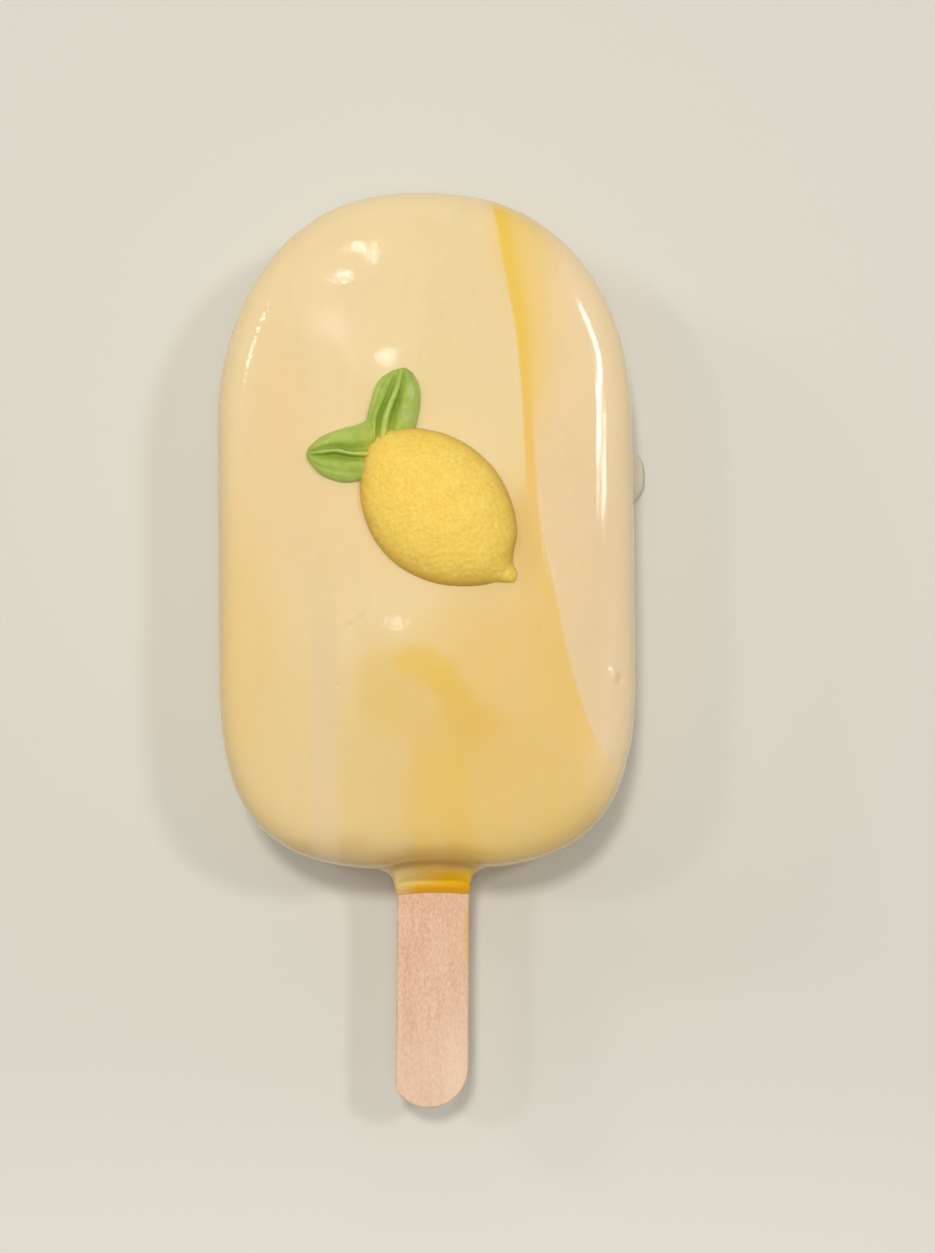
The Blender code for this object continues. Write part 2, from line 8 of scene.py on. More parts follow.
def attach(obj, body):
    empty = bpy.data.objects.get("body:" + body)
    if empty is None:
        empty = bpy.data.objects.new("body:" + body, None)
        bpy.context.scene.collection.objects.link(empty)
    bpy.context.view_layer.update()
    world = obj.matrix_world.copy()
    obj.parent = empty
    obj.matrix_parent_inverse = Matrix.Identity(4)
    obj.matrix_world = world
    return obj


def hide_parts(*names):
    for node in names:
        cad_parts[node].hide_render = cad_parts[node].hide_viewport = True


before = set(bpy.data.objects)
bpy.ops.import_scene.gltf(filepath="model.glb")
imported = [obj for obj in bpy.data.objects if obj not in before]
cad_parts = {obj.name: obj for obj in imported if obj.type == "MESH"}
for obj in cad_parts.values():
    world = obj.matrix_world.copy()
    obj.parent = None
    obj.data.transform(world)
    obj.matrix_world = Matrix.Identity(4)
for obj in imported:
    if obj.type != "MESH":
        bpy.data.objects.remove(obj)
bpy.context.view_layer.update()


# ---- The view ----------------------------------------------------------------------------------
# The cakesicle lies on its back and is seen from above, from a third of a metre away, by a camera
# that leans a little toward the stick's end. Sizes and places are in millimetres from a point
# under the bar, and become metres from the middle of the whole where a thing is made.
MM = 0.001
TO_MIDDLE = (-0.28, 0.97, 0.0)
VIEW_MIDDLE = Vector((4.64, 2.10, 12.0))
VIEW_LEAN = math.radians(6)
VIEW_TURN = -0.010
VIEW_DISTANCE = 323
LENS = 69.4
PICTURE_HEIGHT = 36


def place_camera():
    """A camera on the line that leans from the view's middle, its sides along the bar's."""
    turn = Matrix.Rotation(VIEW_TURN, 3, "Z")
    back = turn @ Vector((0, -math.sin(VIEW_LEAN), math.cos(VIEW_LEAN)))
    right = turn @ Vector((1, 0, 0))
    pose = Matrix((right, back.cross(right), back)).transposed().to_4x4()
    pose.translation = (VIEW_MIDDLE + Vector(TO_MIDDLE) + back * VIEW_DISTANCE) * MM
    lens = bpy.data.cameras.new("view")
    lens.sensor_fit = "VERTICAL"
    lens.sensor_height = PICTURE_HEIGHT
    lens.lens = LENS
    lens.clip_start = 10 * MM
    camera = bpy.data.objects.new("view", lens)
    camera.matrix_world = pose
    bpy.context.scene.collection.objects.link(camera)
    bpy.context.scene.camera = camera


place_camera()


# ---- The light ---------------------------------------------------------------------------------
# A kitchen's ceiling lamps: one almost overhead, two that throw the faint shadows to either side,
# and a paler one far to the left, in a bright even room. The gloss mirrors lamps of its own.
LIT_FROM = Vector((0, 10, 15))
LAMP_DISTANCE = 700
HALL_DISTANCE = 1000
ROOM_COLOUR = (1.0, 0.99, 0.97)
ROOM_LIGHT = 0.20


def lamp(name, way, size, power, colour=(1, 1, 1), distance=LAMP_DISTANCE, mirrored=False):
    """A flat rectangular lamp in a direction from the bar, facing it. It either lights what is
    matt or, mirrored, shows in what is glossy."""
    light = bpy.data.lights.new(name, "AREA")
    light.shape = "RECTANGLE"
    light.size, light.size_y = size[0] * MM, size[1] * MM
    light.energy = power
    light.color = colour
    piece = bpy.data.objects.new(name, light)
    out = Vector(way).normalized()
    piece.location = (LIT_FROM + Vector(TO_MIDDLE) + out * distance) * MM
    piece.rotation_euler = out.to_track_quat("Z", "Y").to_euler()
    piece.visible_glossy = mirrored
    piece.visible_diffuse = not mirrored
    bpy.context.scene.collection.objects.link(piece)


def light_room():
    """The room's even light, and no colour management but the screen's own."""
    world = bpy.data.worlds.new("room")
    world.use_nodes = True
    room = world.node_tree.nodes["Background"]
    room.inputs["Color"].default_value = (*ROOM_COLOUR, 1)
    room.inputs["Strength"].default_value = ROOM_LIGHT
    bpy.context.scene.world = world
    bpy.context.scene.view_settings.view_transform = "Standard"


light_room()
lamp("ceiling_over", (-0.06, 0.13, 1), (70, 70), 1.80, (1, 0.98, 0.95))
lamp("ceiling_near", (0.0, -0.16, 1), (160, 160), 0.85, (1, 0.97, 0.90))
lamp("ceiling_right", (0.52, 0.13, 1), (70, 70), 0.80, (0.97, 0.99, 1))
lamp("ceiling_left", (-0.65, 0.17, 1), (70, 70), 0.41, (0.98, 0.99, 1))
lamp("hall_left", (-1.43, 0.67, 1), (110, 110), 0.40, (1, 0.98, 0.95))
lamp("hall_far", (0.0, 1.5, 1), (900, 300), 0.6, (1, 0.97, 0.92), HALL_DISTANCE)
lamp("show_right", (0.725, 0.515, 1), (145, 62), 0.62, mirrored=True)
lamp("show_join", (0.665, 0.345, 1), (26, 120), 0.20, mirrored=True)
lamp("show_near", (0.60, 0.275, 1), (22, 70), 0.10, mirrored=True)
lamp("show_end", (0.77, 0.262, 1), (24, 80), 0.12, mirrored=True)
lamp("show_far", (-0.096, 0.365, 1), (10, 10), 0.060, mirrored=True)
lamp("show_over", (-0.034, 0.098, 1), (18, 18), 0.030, mirrored=True)
lamp("show_left", (-0.55, 0.42, 1), (45, 60), 0.12, mirrored=True)


# ---- The floor ---------------------------------------------------------------------------------
# A plain pale floor, glazed and almost even in tone, with painted light that makes it a little
# lighter toward the near side. It is what the cakesicle lies on, and isn't part of it.
FLOOR_HALF = 1500
FLOOR_DROP = 0.03
FLOOR_PAINTED_LIGHT_NEAR = (234, 231, 221)
FLOOR_DEEP = (221, 218, 207)
FLOOR_TURNS = (-95, -40)


class Wire:
    """An output of a material's nodes. Arithmetic on it adds Math nodes, add() any other node."""

    def __init__(self, tree, socket):
        self.tree = tree
        self.socket = socket

    def add(self, kind, settings, inputs, output=0):
        """One more node: its settings first, then its sockets' values or links. A curve's
        points are a setting too."""
        node = self.tree.nodes.new("ShaderNode" + kind)
        for name, value in settings.items():
            if name == "points":
                set_points(node.mapping, value)
            else:
                setattr(node, name, value)
        for name, value in inputs.items():
            if isinstance(value, Wire):
                self.tree.links.new(value.socket, node.inputs[name])
            else:
                node.inputs[name].default_value = value
        return Wire(self.tree, node.outputs[output])

    def math(self, operation, *values):
        """A Math node on values or wires."""
        return self.add("Math", {"operation": operation}, dict(enumerate(values)))

    def __add__(self, other):
        return self.math("ADD", self, other)

    def __sub__(self, other):
        return self.math("SUBTRACT", self, other)

    def __rsub__(self, other):
        return self.math("SUBTRACT", other, self)

    def __mul__(self, other):
        return self.math("MULTIPLY", self, other)

    def __truediv__(self, other):
        return self.math("DIVIDE", self, other)

    def __pow__(self, other):
        return self.math("POWER", self, other)

    __radd__ = __add__
    __rmul__ = __mul__

    def axis(self, letter):
        """One coordinate of a place."""
        return self.add("SeparateXYZ", {}, {"Vector": self}, letter)

    def scaled(self, across, along, up):
        """A place with each coordinate multiplied by its own factor."""
        return self.add("VectorMath", {"operation": "MULTIPLY"}, {0: self, 1: (across, along, up)})

    def moved(self, way, by=1.0):
        """A place moved a fixed way, by a value that may vary."""
        step = self.add("VectorMath", {"operation": "SCALE"}, {0: way, "Scale": by})
        return self.add("VectorMath", {"operation": "ADD"}, {0: self, 1: step})

    def noise(self, size, detail=2.0, roughness=0.5):
        """Noise at a place, from about -1 to 1, with lumps of about a size in millimetres."""
        inputs = {"Vector": self, "Scale": 1 / size, "Detail": detail, "Roughness": roughness}
        return self.add("TexNoise", {}, inputs) * 2 - 1

    def rise(self, low, high):
        """From 0 below the low value smoothly to 1 above the high one."""
        inputs = {"Value": self, "From Min": low, "From Max": high}
        return self.add("MapRange", {"interpolation_type": "SMOOTHSTEP"}, inputs)

    def mix(self, below, above):
        """From one colour to another as this value goes from 0 to 1, each a wire or a screen
        colour."""
        inputs = {"Factor": self, 6: paint(below), 7: paint(above)}
        return self.add("Mix", {"data_type": "RGBA", "clamp_factor": True}, inputs, 2)

    def bumped(self):
        """The surface's own normal, bent by this value as a height in millimetres."""
        normal = self.add("NewGeometry", {}, {}, "Normal")
        return self.add("Bump", {}, {"Height": self, "Distance": MM, "Normal": normal})


def paint(colour):
    """A screen colour, 0 to 255, as the linear one that shaders take. A wire stays as it is."""
    if isinstance(colour, Wire):
        return colour
    screen = np.array(colour) / 255
    linear = np.where(screen <= 0.04045, screen / 12.92, ((screen + 0.055) / 1.055) ** 2.4)
    return (*linear.tolist(), 1.0)


def new_material(name, **values):
    """A material, its shader with values that are the same all over, whose sockets are named
    with _ for a space, and the place on the object, as the shapes below give it."""
    material = bpy.data.materials.new(name)
    material.use_nodes = True
    tree = material.node_tree
    shader = tree.nodes["Principled BSDF"]
    for socket, value in values.items():
        shader.inputs[socket.replace("_", " ")].default_value = value
    place = Wire(tree, tree.nodes.new("ShaderNodeTexCoord").outputs["Object"])
    place = place.scaled(1 / MM, 1 / MM, 1 / MM)
    return material, shader, place.moved([-offset for offset in TO_MIDDLE])


def feed(shader, **wires):
    """Links what varies to a shader's sockets, named with _ for a space."""
    for name, wire in wires.items():
        wire.tree.links.new(wire.socket, shader.inputs[name.replace("_", " ")])


def floor_glaze():
    """Pale glaze, with painted light that makes it a little lighter toward the near side."""
    material, shader, place = new_material("floor_glaze", Roughness=0.42, Specular_IOR_Level=0.25)
    # Painted light: the floor is a little lighter toward the near side.
    near = 1 - place.axis("Y").rise(*FLOOR_TURNS)
    feed(shader, Base_Color=near.mix(FLOOR_DEEP, FLOOR_PAINTED_LIGHT_NEAR))
    return material


def add_mesh(name, points, faces, material):
    """An object with its place in its mesh, from points in millimetres, shaded smooth."""
    mesh = bpy.data.meshes.new(name)
    mesh.from_pydata((points + np.array(TO_MIDDLE)) * MM, [], [face.tolist() for face in faces])
    mesh.materials.append(material)
    mesh.shade_smooth()
    mesh.validate()
    piece = bpy.data.objects.new(name, mesh)
    bpy.context.scene.collection.objects.link(piece)
    return piece


def make_floor():
    """A wide square, a hair below what lies on it."""
    corners = np.array([[-1, -1], [1, -1], [1, 1], [-1, 1]]) * FLOOR_HALF
    points = np.column_stack([corners, np.full(4, -FLOOR_DROP)])
    add_mesh("floor", points, [np.arange(4)], floor_glaze())


make_floor()


# ---- The coated bar ----------------------------------------------------------------------------
# The cake's skin of candy coating, poured marbled, cream with yellow and orange drawn through it.
# It covers the bar all round, ends as a collar on the stick, and has run out in one drip on the
# right. The bar's back lay on the tray, so it is flat.
BAR_AT = np.array([-0.73, 0.20])
BAR_HALF_WIDTH = 27.45
FAR_END_FROM = 28.45
FAR_END_DEPTH = 30.53
FAR_END_POWER = 2.41
FAR_TURN = 0.032
FAR_TURN_OVER = 12.0
NEAR_END_FROM = -6.93
NEAR_END_DEPTH = 23.46
NEAR_END_POWER = 3.23
SPREAD = 0.066
WAIST = 0.119
SPREAD_OVER = 50.0
HOLLOW_AT = -0.2
HOLLOW_HALF = 5.6
HOLLOW_DEPTH = 1.0
QUARTER_STEPS = 800
BAR_COLUMNS = 480

BAR_HEIGHT = 25.0
WIDEST_AT = 7.0
SHOULDER_INSET = 8.0
SHOULDER_POWER = 3.0
SHOULDER_SKEW = 0.2
WALL_POWER = 9.0
FOOT_INSET = 3.0
FOOT_POWER = 2.2
FOOT_STEPS = 10
COLLAR_STEPS = 16
COLLAR_BLOCK_TOP = 19.2
SHOULDER_STEPS = 34
FACE_STEPS = 110
UNDER_RING = 0.5
END_WALL_COLUMNS = 3000
END_WALL_REPEATS = 5
FACE_HEART = np.array([0.86, 15.99])
CROWN = 0.8
CROWN_MIDDLE = 14.5
CROWN_HALF_LENGTH = 46.0
RIPPLE = 0.04
RIPPLE_ACROSS = 19.0
RIPPLE_ALONG = 29.0
RIPPLE_SLANT = 30.0
RIPPLE_PHASE = 0.8

DRIP_AT = np.array([26.9, 24.0])
DRIP_REACH = 3.6
DRIP_LENGTH = 4.5
DRIP_LEVEL = 1.8
TINY = 1e-9


def step(value, low, high):
    """From 0 below the low value to 1 above the high one, as 3t² - 2t³."""
    share = ((value - low) / (high - low)).clip(0, 1)
    return share ** 2 * (3 - 2 * share)


def evenly(points, count):
    """A closed outline read again at `count` points equally far apart along its length."""
    closed = np.vstack([points, points[:1]])
    run = np.r_[0.0, np.cumsum(np.linalg.norm(np.diff(closed, axis=0), axis=1))]
    at = np.linspace(0.0, run[-1], count, endpoint=False)
    return np.stack([np.interp(at, run, closed[:, 0]), np.interp(at, run, closed[:, 1])], axis=1)


def outward(points):
    """Unit normals of an anticlockwise closed outline: its tangent turned to the right."""
    along = np.roll(points, -1, axis=0) - np.roll(points, 1, axis=0)
    along /= np.linalg.norm(along, axis=1, keepdims=True)
    return np.stack([along[:, 1], -along[:, 0]], axis=1)


def bar_end(start, depth, power):
    """The right half of one end, from its side to its middle: width·cos^(2/power) across and
    depth·sin^(2/power) along."""
    turn = np.linspace(0.0, math.pi / 2, QUARTER_STEPS)
    cos, sin = np.cos(turn).clip(TINY), np.sin(turn).clip(TINY)
    across = BAR_HALF_WIDTH * cos ** (2 / power)
    return np.stack([across, start + depth * sin ** (2 / power)], axis=1)


def bar_outline(count):
    """The bar from above, anticlockwise from the middle of its far end: its two ends with
    straight sides between, the far end turned by an angle that comes in over a length, and the
    whole spread toward that end and drawn in by the square of the distance."""
    far = bar_end(FAR_END_FROM, FAR_END_DEPTH, FAR_END_POWER)
    near = bar_end(NEAR_END_FROM, -NEAR_END_DEPTH, NEAR_END_POWER)
    right = np.vstack([near[::-1], far])
    left = right[::-1] * [-1, 1]
    points = np.vstack([left[:-1], right[:-1]])
    over = (points[:, 1] - FAR_END_FROM).clip(0)
    lean = FAR_TURN * step(over, 0, FAR_TURN_OVER)[:, None]
    points = points + lean * np.stack([over, -points[:, 0]], axis=1)
    share = points[:, 1] / SPREAD_OVER
    points[:, 0] *= 1 + SPREAD * share - WAIST * share ** 2
    return evenly(points, count) + BAR_AT


def section(angle):
    """Inset and height of the wall at an angle from -90 (foot) through 0 (widest) to 90: depth
    times 1 - cos^(2/power) inward, height times sin^(2/power) up or down."""
    cos = np.cos(angle).clip(TINY)
    sin = np.abs(np.sin(angle))
    above = angle >= 0
    inset = np.where(above, SHOULDER_INSET * (1 - cos ** (2 / SHOULDER_POWER)),
                     FOOT_INSET * (1 - cos ** (2 / FOOT_POWER)))
    height = np.where(above,
                      WIDEST_AT + (BAR_HEIGHT - WIDEST_AT) * sin ** (2 / WALL_POWER),
                      WIDEST_AT - WIDEST_AT * sin ** (2 / FOOT_POWER))
    return inset, height


def wall_angle(height):
    """The section's angle at a height on the wall, from its formula turned round."""
    share = (height - WIDEST_AT) / (BAR_HEIGHT - WIDEST_AT)
    return np.arcsin(np.clip(share, 0, 1) ** (WALL_POWER / 2))


def skewed(inset, facing_right, angle):
    """The shoulder is broader where it faces right than where it faces left; the foot isn't."""
    return inset * (1 + SHOULDER_SKEW * facing_right * (angle > 0))


def hollow(x, inset):
    """How far the near end is drawn in where the stick comes out: depth·e^-(x/half)^4, less and
    less up its shoulder."""
    fades = (1 - inset / SHOULDER_INSET).clip(0) ** 2
    return HOLLOW_DEPTH * np.exp(-((x - HOLLOW_AT) / HOLLOW_HALF) ** 4) * fades


def swell(x, y):
    """What the face has over a flat one: a crown that falls off as a parabola, and ripples,
    a sine across times a cosine along."""
    x, y = x - BAR_AT[0], y - BAR_AT[1] - CROWN_MIDDLE
    crown = CROWN * (1 - (x / BAR_HALF_WIDTH) ** 2 - (y / CROWN_HALF_LENGTH) ** 2)
    across = np.sin(2 * math.pi * x / RIPPLE_ACROSS + RIPPLE_PHASE)
    along = np.cos(2 * math.pi * y / RIPPLE_ALONG + x / RIPPLE_SLANT)
    return crown + RIPPLE * across * along


def face_height(x, y):
    """The face's height at x and y, where the lemon and the leaves lie."""
    return BAR_HEIGHT + swell(x, y)


# How the coating isn't smooth: lumps and dents of a size, then single marks, each given by its
# place, radius and height.
LUMP_SIZE = 9.0
LUMP_HEIGHT = 0.008
LUMPS_FROM = -24.0
LUMPS_OVER = 8.0
RELIEF_OVER = 6.0
MARKS = (
    ((-8.91, 2.10), 0.32, -0.22),
    ((-8.30, 1.95), 0.40, 0.05),
    ((-10.45, 1.08), 0.36, -0.26),
    ((-9.85, 1.20), 0.42, 0.06),
    ((13.93, 0.58), 0.34, -0.14),
    ((-11.77, -6.50), 0.30, -0.16),
    ((23.25, -5.75), 0.62, 0.34),
    ((24.05, -6.15), 0.42, -0.36),
    ((-8.6, 49.2), 5.5, 0.06),
    ((-4.0, 32.3), 4.2, 0.20),
    ((-17.5, 36.6), 3.4, 0.06),
    ((-3.8, -2.2), 3.0, 0.07),
    ((-4.7, 52.9), 0.8, 0.03),
    ((-2.5, 54.1), 0.8, 0.03),
)
TONGUE_RISE = 0.14
TONGUE_RISE_TO = 30.0
TONGUE_RISE_OVER = 20.0
TONGUE_SOFT = 0.7
# The left edge of the upper streak and the left edge of the tongue, as x for each y; below the
# tongue's tip the coating goes on over the shoulder.
STREAK_EDGE = ((-20.0, 21.0), (4.0, 14.6), (14.0, 13.0), (24.3, 12.24), (29.8, 12.03),
               (38.0, 11.42), (46.2, 10.22), (54.5, 8.83), (62.0, 7.3))
TONGUE_EDGE = ((-20.0, 23.5), (-16.0, 21.99), (-11.1, 19.74), (-6.2, 18.31), (0.4, 16.81),
               (5.1, 15.91), (9.2, 15.0), (13.4, 14.22), (19.1, 13.84), (26.2, 13.35),
               (40.0, 12.6), (62.0, 9.5))
TONGUE_TIP = np.array([23.3, -16.2])
TONGUE_TIP_CURVE = 0.27


def uneven(x, y, size, seed, waves=28):
    """An even lumpiness of about unit height: sines of about one wavelength, in directions and
    phases drawn from a seed, added up."""
    draw = np.random.default_rng(seed)
    turn = draw.uniform(0, math.pi, waves)
    phase = draw.uniform(0, 2 * math.pi, waves)
    length = size * draw.uniform(0.7, 1.5, waves)
    total = np.zeros(x.shape)
    for angle, start, wave in zip(turn, phase, length):
        total += np.sin(2 * math.pi * (x * math.cos(angle) + y * math.sin(angle)) / wave + start)
    return total / math.sqrt(waves / 2)


def on_tongue(x, y):
    """1 on the pale tongue on the right, 0 off it: right of its edge, and above its tip's arc."""
    places, edge = np.array(TONGUE_EDGE).T
    beside = step(x - np.interp(y, places, edge), -TONGUE_SOFT / 2, TONGUE_SOFT / 2)
    arc = TONGUE_TIP[1] + TONGUE_TIP_CURVE * (x - TONGUE_TIP[0]) ** 2
    return beside * step(y - arc, -TONGUE_SOFT / 2, TONGUE_SOFT / 2)


def relief(x, y):
    """How far the coating stands proud of the plain form: lumps, the tongue, and the marks as
    Gaussian bumps and pits."""
    lumps = step(y, LUMPS_FROM, LUMPS_FROM + LUMPS_OVER)
    height = LUMP_HEIGHT * uneven(x, y, LUMP_SIZE, 3) * lumps
    height += TONGUE_RISE * on_tongue(x, y) * step(TONGUE_RISE_TO - y, 0, TONGUE_RISE_OVER)
    for (mark_x, mark_y), radius, rise in MARKS:
        height += rise * np.exp(-((x - mark_x) ** 2 + (y - mark_y) ** 2) / radius ** 2)
    return height


def drip(outline, level):
    """How far the drip stands out of the wall's foot: reach·e^-(distance/length)³, times a
    Gaussian in height."""
    away = np.linalg.norm(outline - DRIP_AT, axis=1)
    run_out = DRIP_REACH * np.exp(-(away / DRIP_LENGTH) ** 3)
    return run_out[None] * np.exp(-((level - DRIP_LEVEL) / DRIP_LEVEL) ** 2)


def bar_rings():
    """The bar's skin as rings from the underside to the face, each a ring of BAR_COLUMNS. On
    the wall the outline is moved in by its section, on the face the last ring is drawn in
    toward the heart, and the relief is laid over both."""
    outline = bar_outline(BAR_COLUMNS)
    normal = outward(outline)
    wall = wall_angle(np.linspace(WIDEST_AT, COLLAR_BLOCK_TOP, COLLAR_STEPS + 1))
    angles = np.r_[np.linspace(-math.pi / 2, 0, FOOT_STEPS + 1)[:-1], wall[:-1],
                   np.linspace(wall[-1], math.pi / 2, SHOULDER_STEPS + 1)]
    inset, height = section(angles)
    inset = skewed(inset[:, None], normal[None, :, 0], angles[:, None])
    flat = outline[None] - normal[None] * inset[..., None]
    flat[..., 1] += hollow(flat[..., 0], inset) * (flat[..., 1] < 0)
    level = np.repeat(height[:, None], BAR_COLUMNS, axis=1)
    share = np.where(angles > 0, np.sin(angles) ** 2, 0.0)[:, None]
    level = level + share * swell(flat[..., 0], flat[..., 1])
    flat = flat + normal[None] * drip(outline, level)[..., None]
    walls = np.concatenate([flat, level[..., None]], axis=2)
    scale = np.linspace(1, 0, FACE_STEPS + 1, endpoint=False)[1:, None, None]
    face = FACE_HEART + (walls[-1, :, :2] - FACE_HEART) * scale
    face = np.concatenate([face, face_height(face[..., 0], face[..., 1])[..., None]], axis=2)
    skin = np.concatenate([walls, face])
    proud = relief(skin[..., 0], skin[..., 1])
    proud *= step(skin[..., 2], WIDEST_AT, WIDEST_AT + RELIEF_OVER)
    skin = skin + outward_normals(skin) * proud[..., None]
    under = (walls[:1] - [*BAR_AT, 0]) * UNDER_RING + [*BAR_AT, 0]
    return np.concatenate([under, skin])


def outward_normals(rings):
    """Unit normals of a grid of closed rings: its run round each ring crossed with its run from
    ring to ring."""
    round_ring = np.roll(rings, -1, axis=1) - np.roll(rings, 1, axis=1)
    ring_to_ring = np.gradient(rings, axis=0)
    normals = np.cross(round_ring, ring_to_ring)
    return normals / np.linalg.norm(normals, axis=-1, keepdims=True).clip(TINY)


def end_wall(x, z):
    """How far along the bar its near end's wall lies, at x and at height z. The wall's point
    is the outline's less its inset, so the outline's own x is found by repeating."""
    outline = bar_outline(END_WALL_COLUMNS)
    normal = outward(outline)
    near = outline[:, 1] < NEAR_END_FROM - NEAR_END_DEPTH / 2
    outline, normal = outline[near], normal[near]
    angle = wall_angle(z)
    inset, _ = section(angle)
    start = x
    for _ in range(END_WALL_REPEATS):
        facing_right = np.interp(start, outline[:, 0], normal[:, 0])
        start = x + skewed(inset, facing_right, angle) * facing_right
    facing_right = np.interp(start, outline[:, 0], normal[:, 0])
    inset = skewed(inset, facing_right, angle)
    return (np.interp(start, outline[:, 0], outline[:, 1]) + hollow(x, inset)
            - inset * np.interp(start, outline[:, 0], normal[:, 1]))


# The collar round the stick: the coating flares off the end wall and thins along the stick to a
# round bead, thicker on the left than on the right, and ends at a slightly arched lip.
STICK_WIDTH = 9.5
STICK_THICKNESS = 2.0
STICK_EDGE_ROUND = 0.35
STICK_LENGTH = 93.0
STICK_NEAR_END = -61.17
STICK_LEVEL = 12.5
STICK_LEAN = 0.0145
STICK_CROSSES = -0.22
CORNER_SHARE = 0.15
COLLAR_COLUMNS = 19
COLLAR_LIP = -33.5
LIP_ARCH = 0.28
LIP_ROUND = 0.22
FLARE = 2.3
FLARE_FADES = 0.62
FLARE_ON_TOP = 0.4
HUMP_RISE = 3.4
HUMP_LENGTH = 2.5
HUMP_POWER = 1.6
HUMP_ARCH = 0.45
FLARE_STEPS = 9
ALONG_STEPS = 30
CLOSER_AT_WALL = 1.5
LIP_STEPS = 6
COAT_OVER = 0.30
COAT_LEFT = 0.42
COAT_RIGHT = 0.06
COAT_THINS = 0.45
BEAD_AT = 0.75
BEAD_HALF = 0.50
BEAD_RISE = 0.26
SEAM_GAP = 0.03


def stick_middle(y):
    """The x of the stick's middle line, which leans a little."""
    return STICK_CROSSES + STICK_LEAN * (y - COLLAR_LIP)


def stick_round(wide, tall):
    """Core points and outward directions round the stick's section, anticlockwise from the
    lower left, with `wide` steps on its broad sides and `tall` on its narrow ones. Each side
    runs straight between its corners, and turns through 45 degrees at both."""
    core_half = np.array([STICK_WIDTH / 2, STICK_THICKNESS / 2]) - STICK_EDGE_ROUND
    cores, ways = [], []
    for side, steps in enumerate((wide, tall, wide, tall)):
        part = np.arange(steps) / steps
        run = 2 * ((part - CORNER_SHARE) / (1 - 2 * CORNER_SHARE)).clip(0, 1) - 1
        bend = (part / CORNER_SHARE).clip(0, 1) - ((1 - part) / CORNER_SHARE).clip(0, 1)
        facing = math.radians(90 * side - 90) + math.radians(45) * bend
        base = math.radians(90 * side - 90)
        out = np.array([math.cos(base), math.sin(base)])
        ahead = np.array([-out[1], out[0]])
        cores.append((out + run[:, None] * ahead) * core_half)
        ways.append(np.stack([np.cos(facing), np.sin(facing)], axis=1))
    return np.vstack(cores), np.vstack(ways)


def collar_coat(core, way, to_lip, from_wall):
    """The coating's thickness on the stick: its own share for the top, left and right, drawn
    thin toward the lip, with a round bead just before it. Against the wall it flares to the
    sides, and stands as a hump 1 - (distance/length)^power on top, arched from side to side."""
    across = core[:, 0] / (STICK_WIDTH / 2)
    up = way[:, 1].clip(0) ** 6
    left = (-way[:, 0]).clip(0) ** 2
    right = way[:, 0].clip(0) ** 2
    side = COAT_OVER * way[:, 1] ** 2 + COAT_LEFT * left + COAT_RIGHT * right
    length = to_lip + from_wall
    bead = BEAD_RISE * np.exp(-((to_lip - BEAD_AT) / BEAD_HALF) ** 2) * way[:, 1] ** 2
    thins = side * (1 - COAT_THINS * from_wall / length)
    flare = FLARE * np.exp(-from_wall / FLARE_FADES) * (1 - (1 - FLARE_ON_TOP) * up)
    slope = 1 - (from_wall / HUMP_LENGTH).clip(0, 1) ** HUMP_POWER
    return thins + bead + flare + HUMP_RISE * up * slope * (1 - HUMP_ARCH * across ** 2)


def collar_rings(edge):
    """Rings from the patch's edge on the bar's wall, over the flare, along the collar to its
    lip, round the lip, and back in along the stick to the pocket's end."""
    core, way = stick_round(2 * COLLAR_COLUMNS, COLLAR_STEPS)
    across = core[:, 0] / (STICK_WIDTH / 2)
    lip = COLLAR_LIP + LIP_ARCH * (1 - across ** 2)
    rings = []

    def ring(grow, y):
        flat = core + way * np.asarray(STICK_EDGE_ROUND + grow)[..., None]
        return np.stack([flat[:, 0] + stick_middle(y), y, flat[:, 1] + STICK_LEVEL], axis=1)

    wall = end_wall(*(ring(FLARE, lip)[:, [0, 2]]).T)
    start = collar_coat(core, way, wall - lip, np.zeros(len(core)))
    foot = ring(start, lip)
    foot[:, 1] = end_wall(foot[:, 0], foot[:, 2])
    for part in np.arange(1, FLARE_STEPS) / FLARE_STEPS:
        flare = edge + (foot - edge) * part
        flare[:, 1] = end_wall(flare[:, 0], flare[:, 2])
        rings.append(flare)
    for part in np.linspace(0, 1, ALONG_STEPS + 1) ** CLOSER_AT_WALL:
        y = foot[:, 1] + (lip + LIP_ROUND - foot[:, 1]) * part
        rings.append(ring(collar_coat(core, way, y - lip, foot[:, 1] - y), y))
    last = collar_coat(core, way, np.full(len(core), LIP_ROUND), foot[:, 1] - lip - LIP_ROUND)
    for turn in np.linspace(0, math.pi / 2, LIP_STEPS + 1)[1:]:
        grow = SEAM_GAP + (last - SEAM_GAP) * math.cos(turn)
        rings.append(ring(grow, lip + LIP_ROUND * (1 - math.sin(turn))))
    inner_end = STICK_NEAR_END + STICK_LENGTH + SEAM_GAP
    rings.append(ring(np.full(len(core), SEAM_GAP), np.full(len(core), inner_end)))
    return rings


def grid_faces(rows, columns):
    """Quads of a grid of closed rings, row after row, anticlockwise seen from outside."""
    row, column = np.meshgrid(np.arange(rows - 1), np.arange(columns), indexing="ij")
    here, beside = row * columns, (column + 1) % columns
    return np.stack([here + column, here + beside, here + columns + beside,
                     here + columns + column], axis=-1).reshape(-1, 4)


def fan(ring, pole):
    """Triangles from a ring of indices to one pole."""
    return np.stack([ring, np.roll(ring, -1), np.full(len(ring), pole)], axis=1)


def blob(place, middle, half_sizes, turn, soft):
    """1 inside an ellipse on the face and 0 outside, with an edge as soft as a share of it."""
    cos, sin = math.cos(math.radians(turn)), math.sin(math.radians(turn))
    x, y = place.axis("X") - middle[0], place.axis("Y") - middle[1]
    across = (x * cos + y * sin) / half_sizes[0]
    along = (y * cos - x * sin) / half_sizes[1]
    return 1 - ((across * across + along * along) ** 0.5).rise(1 - soft, 1 + soft)
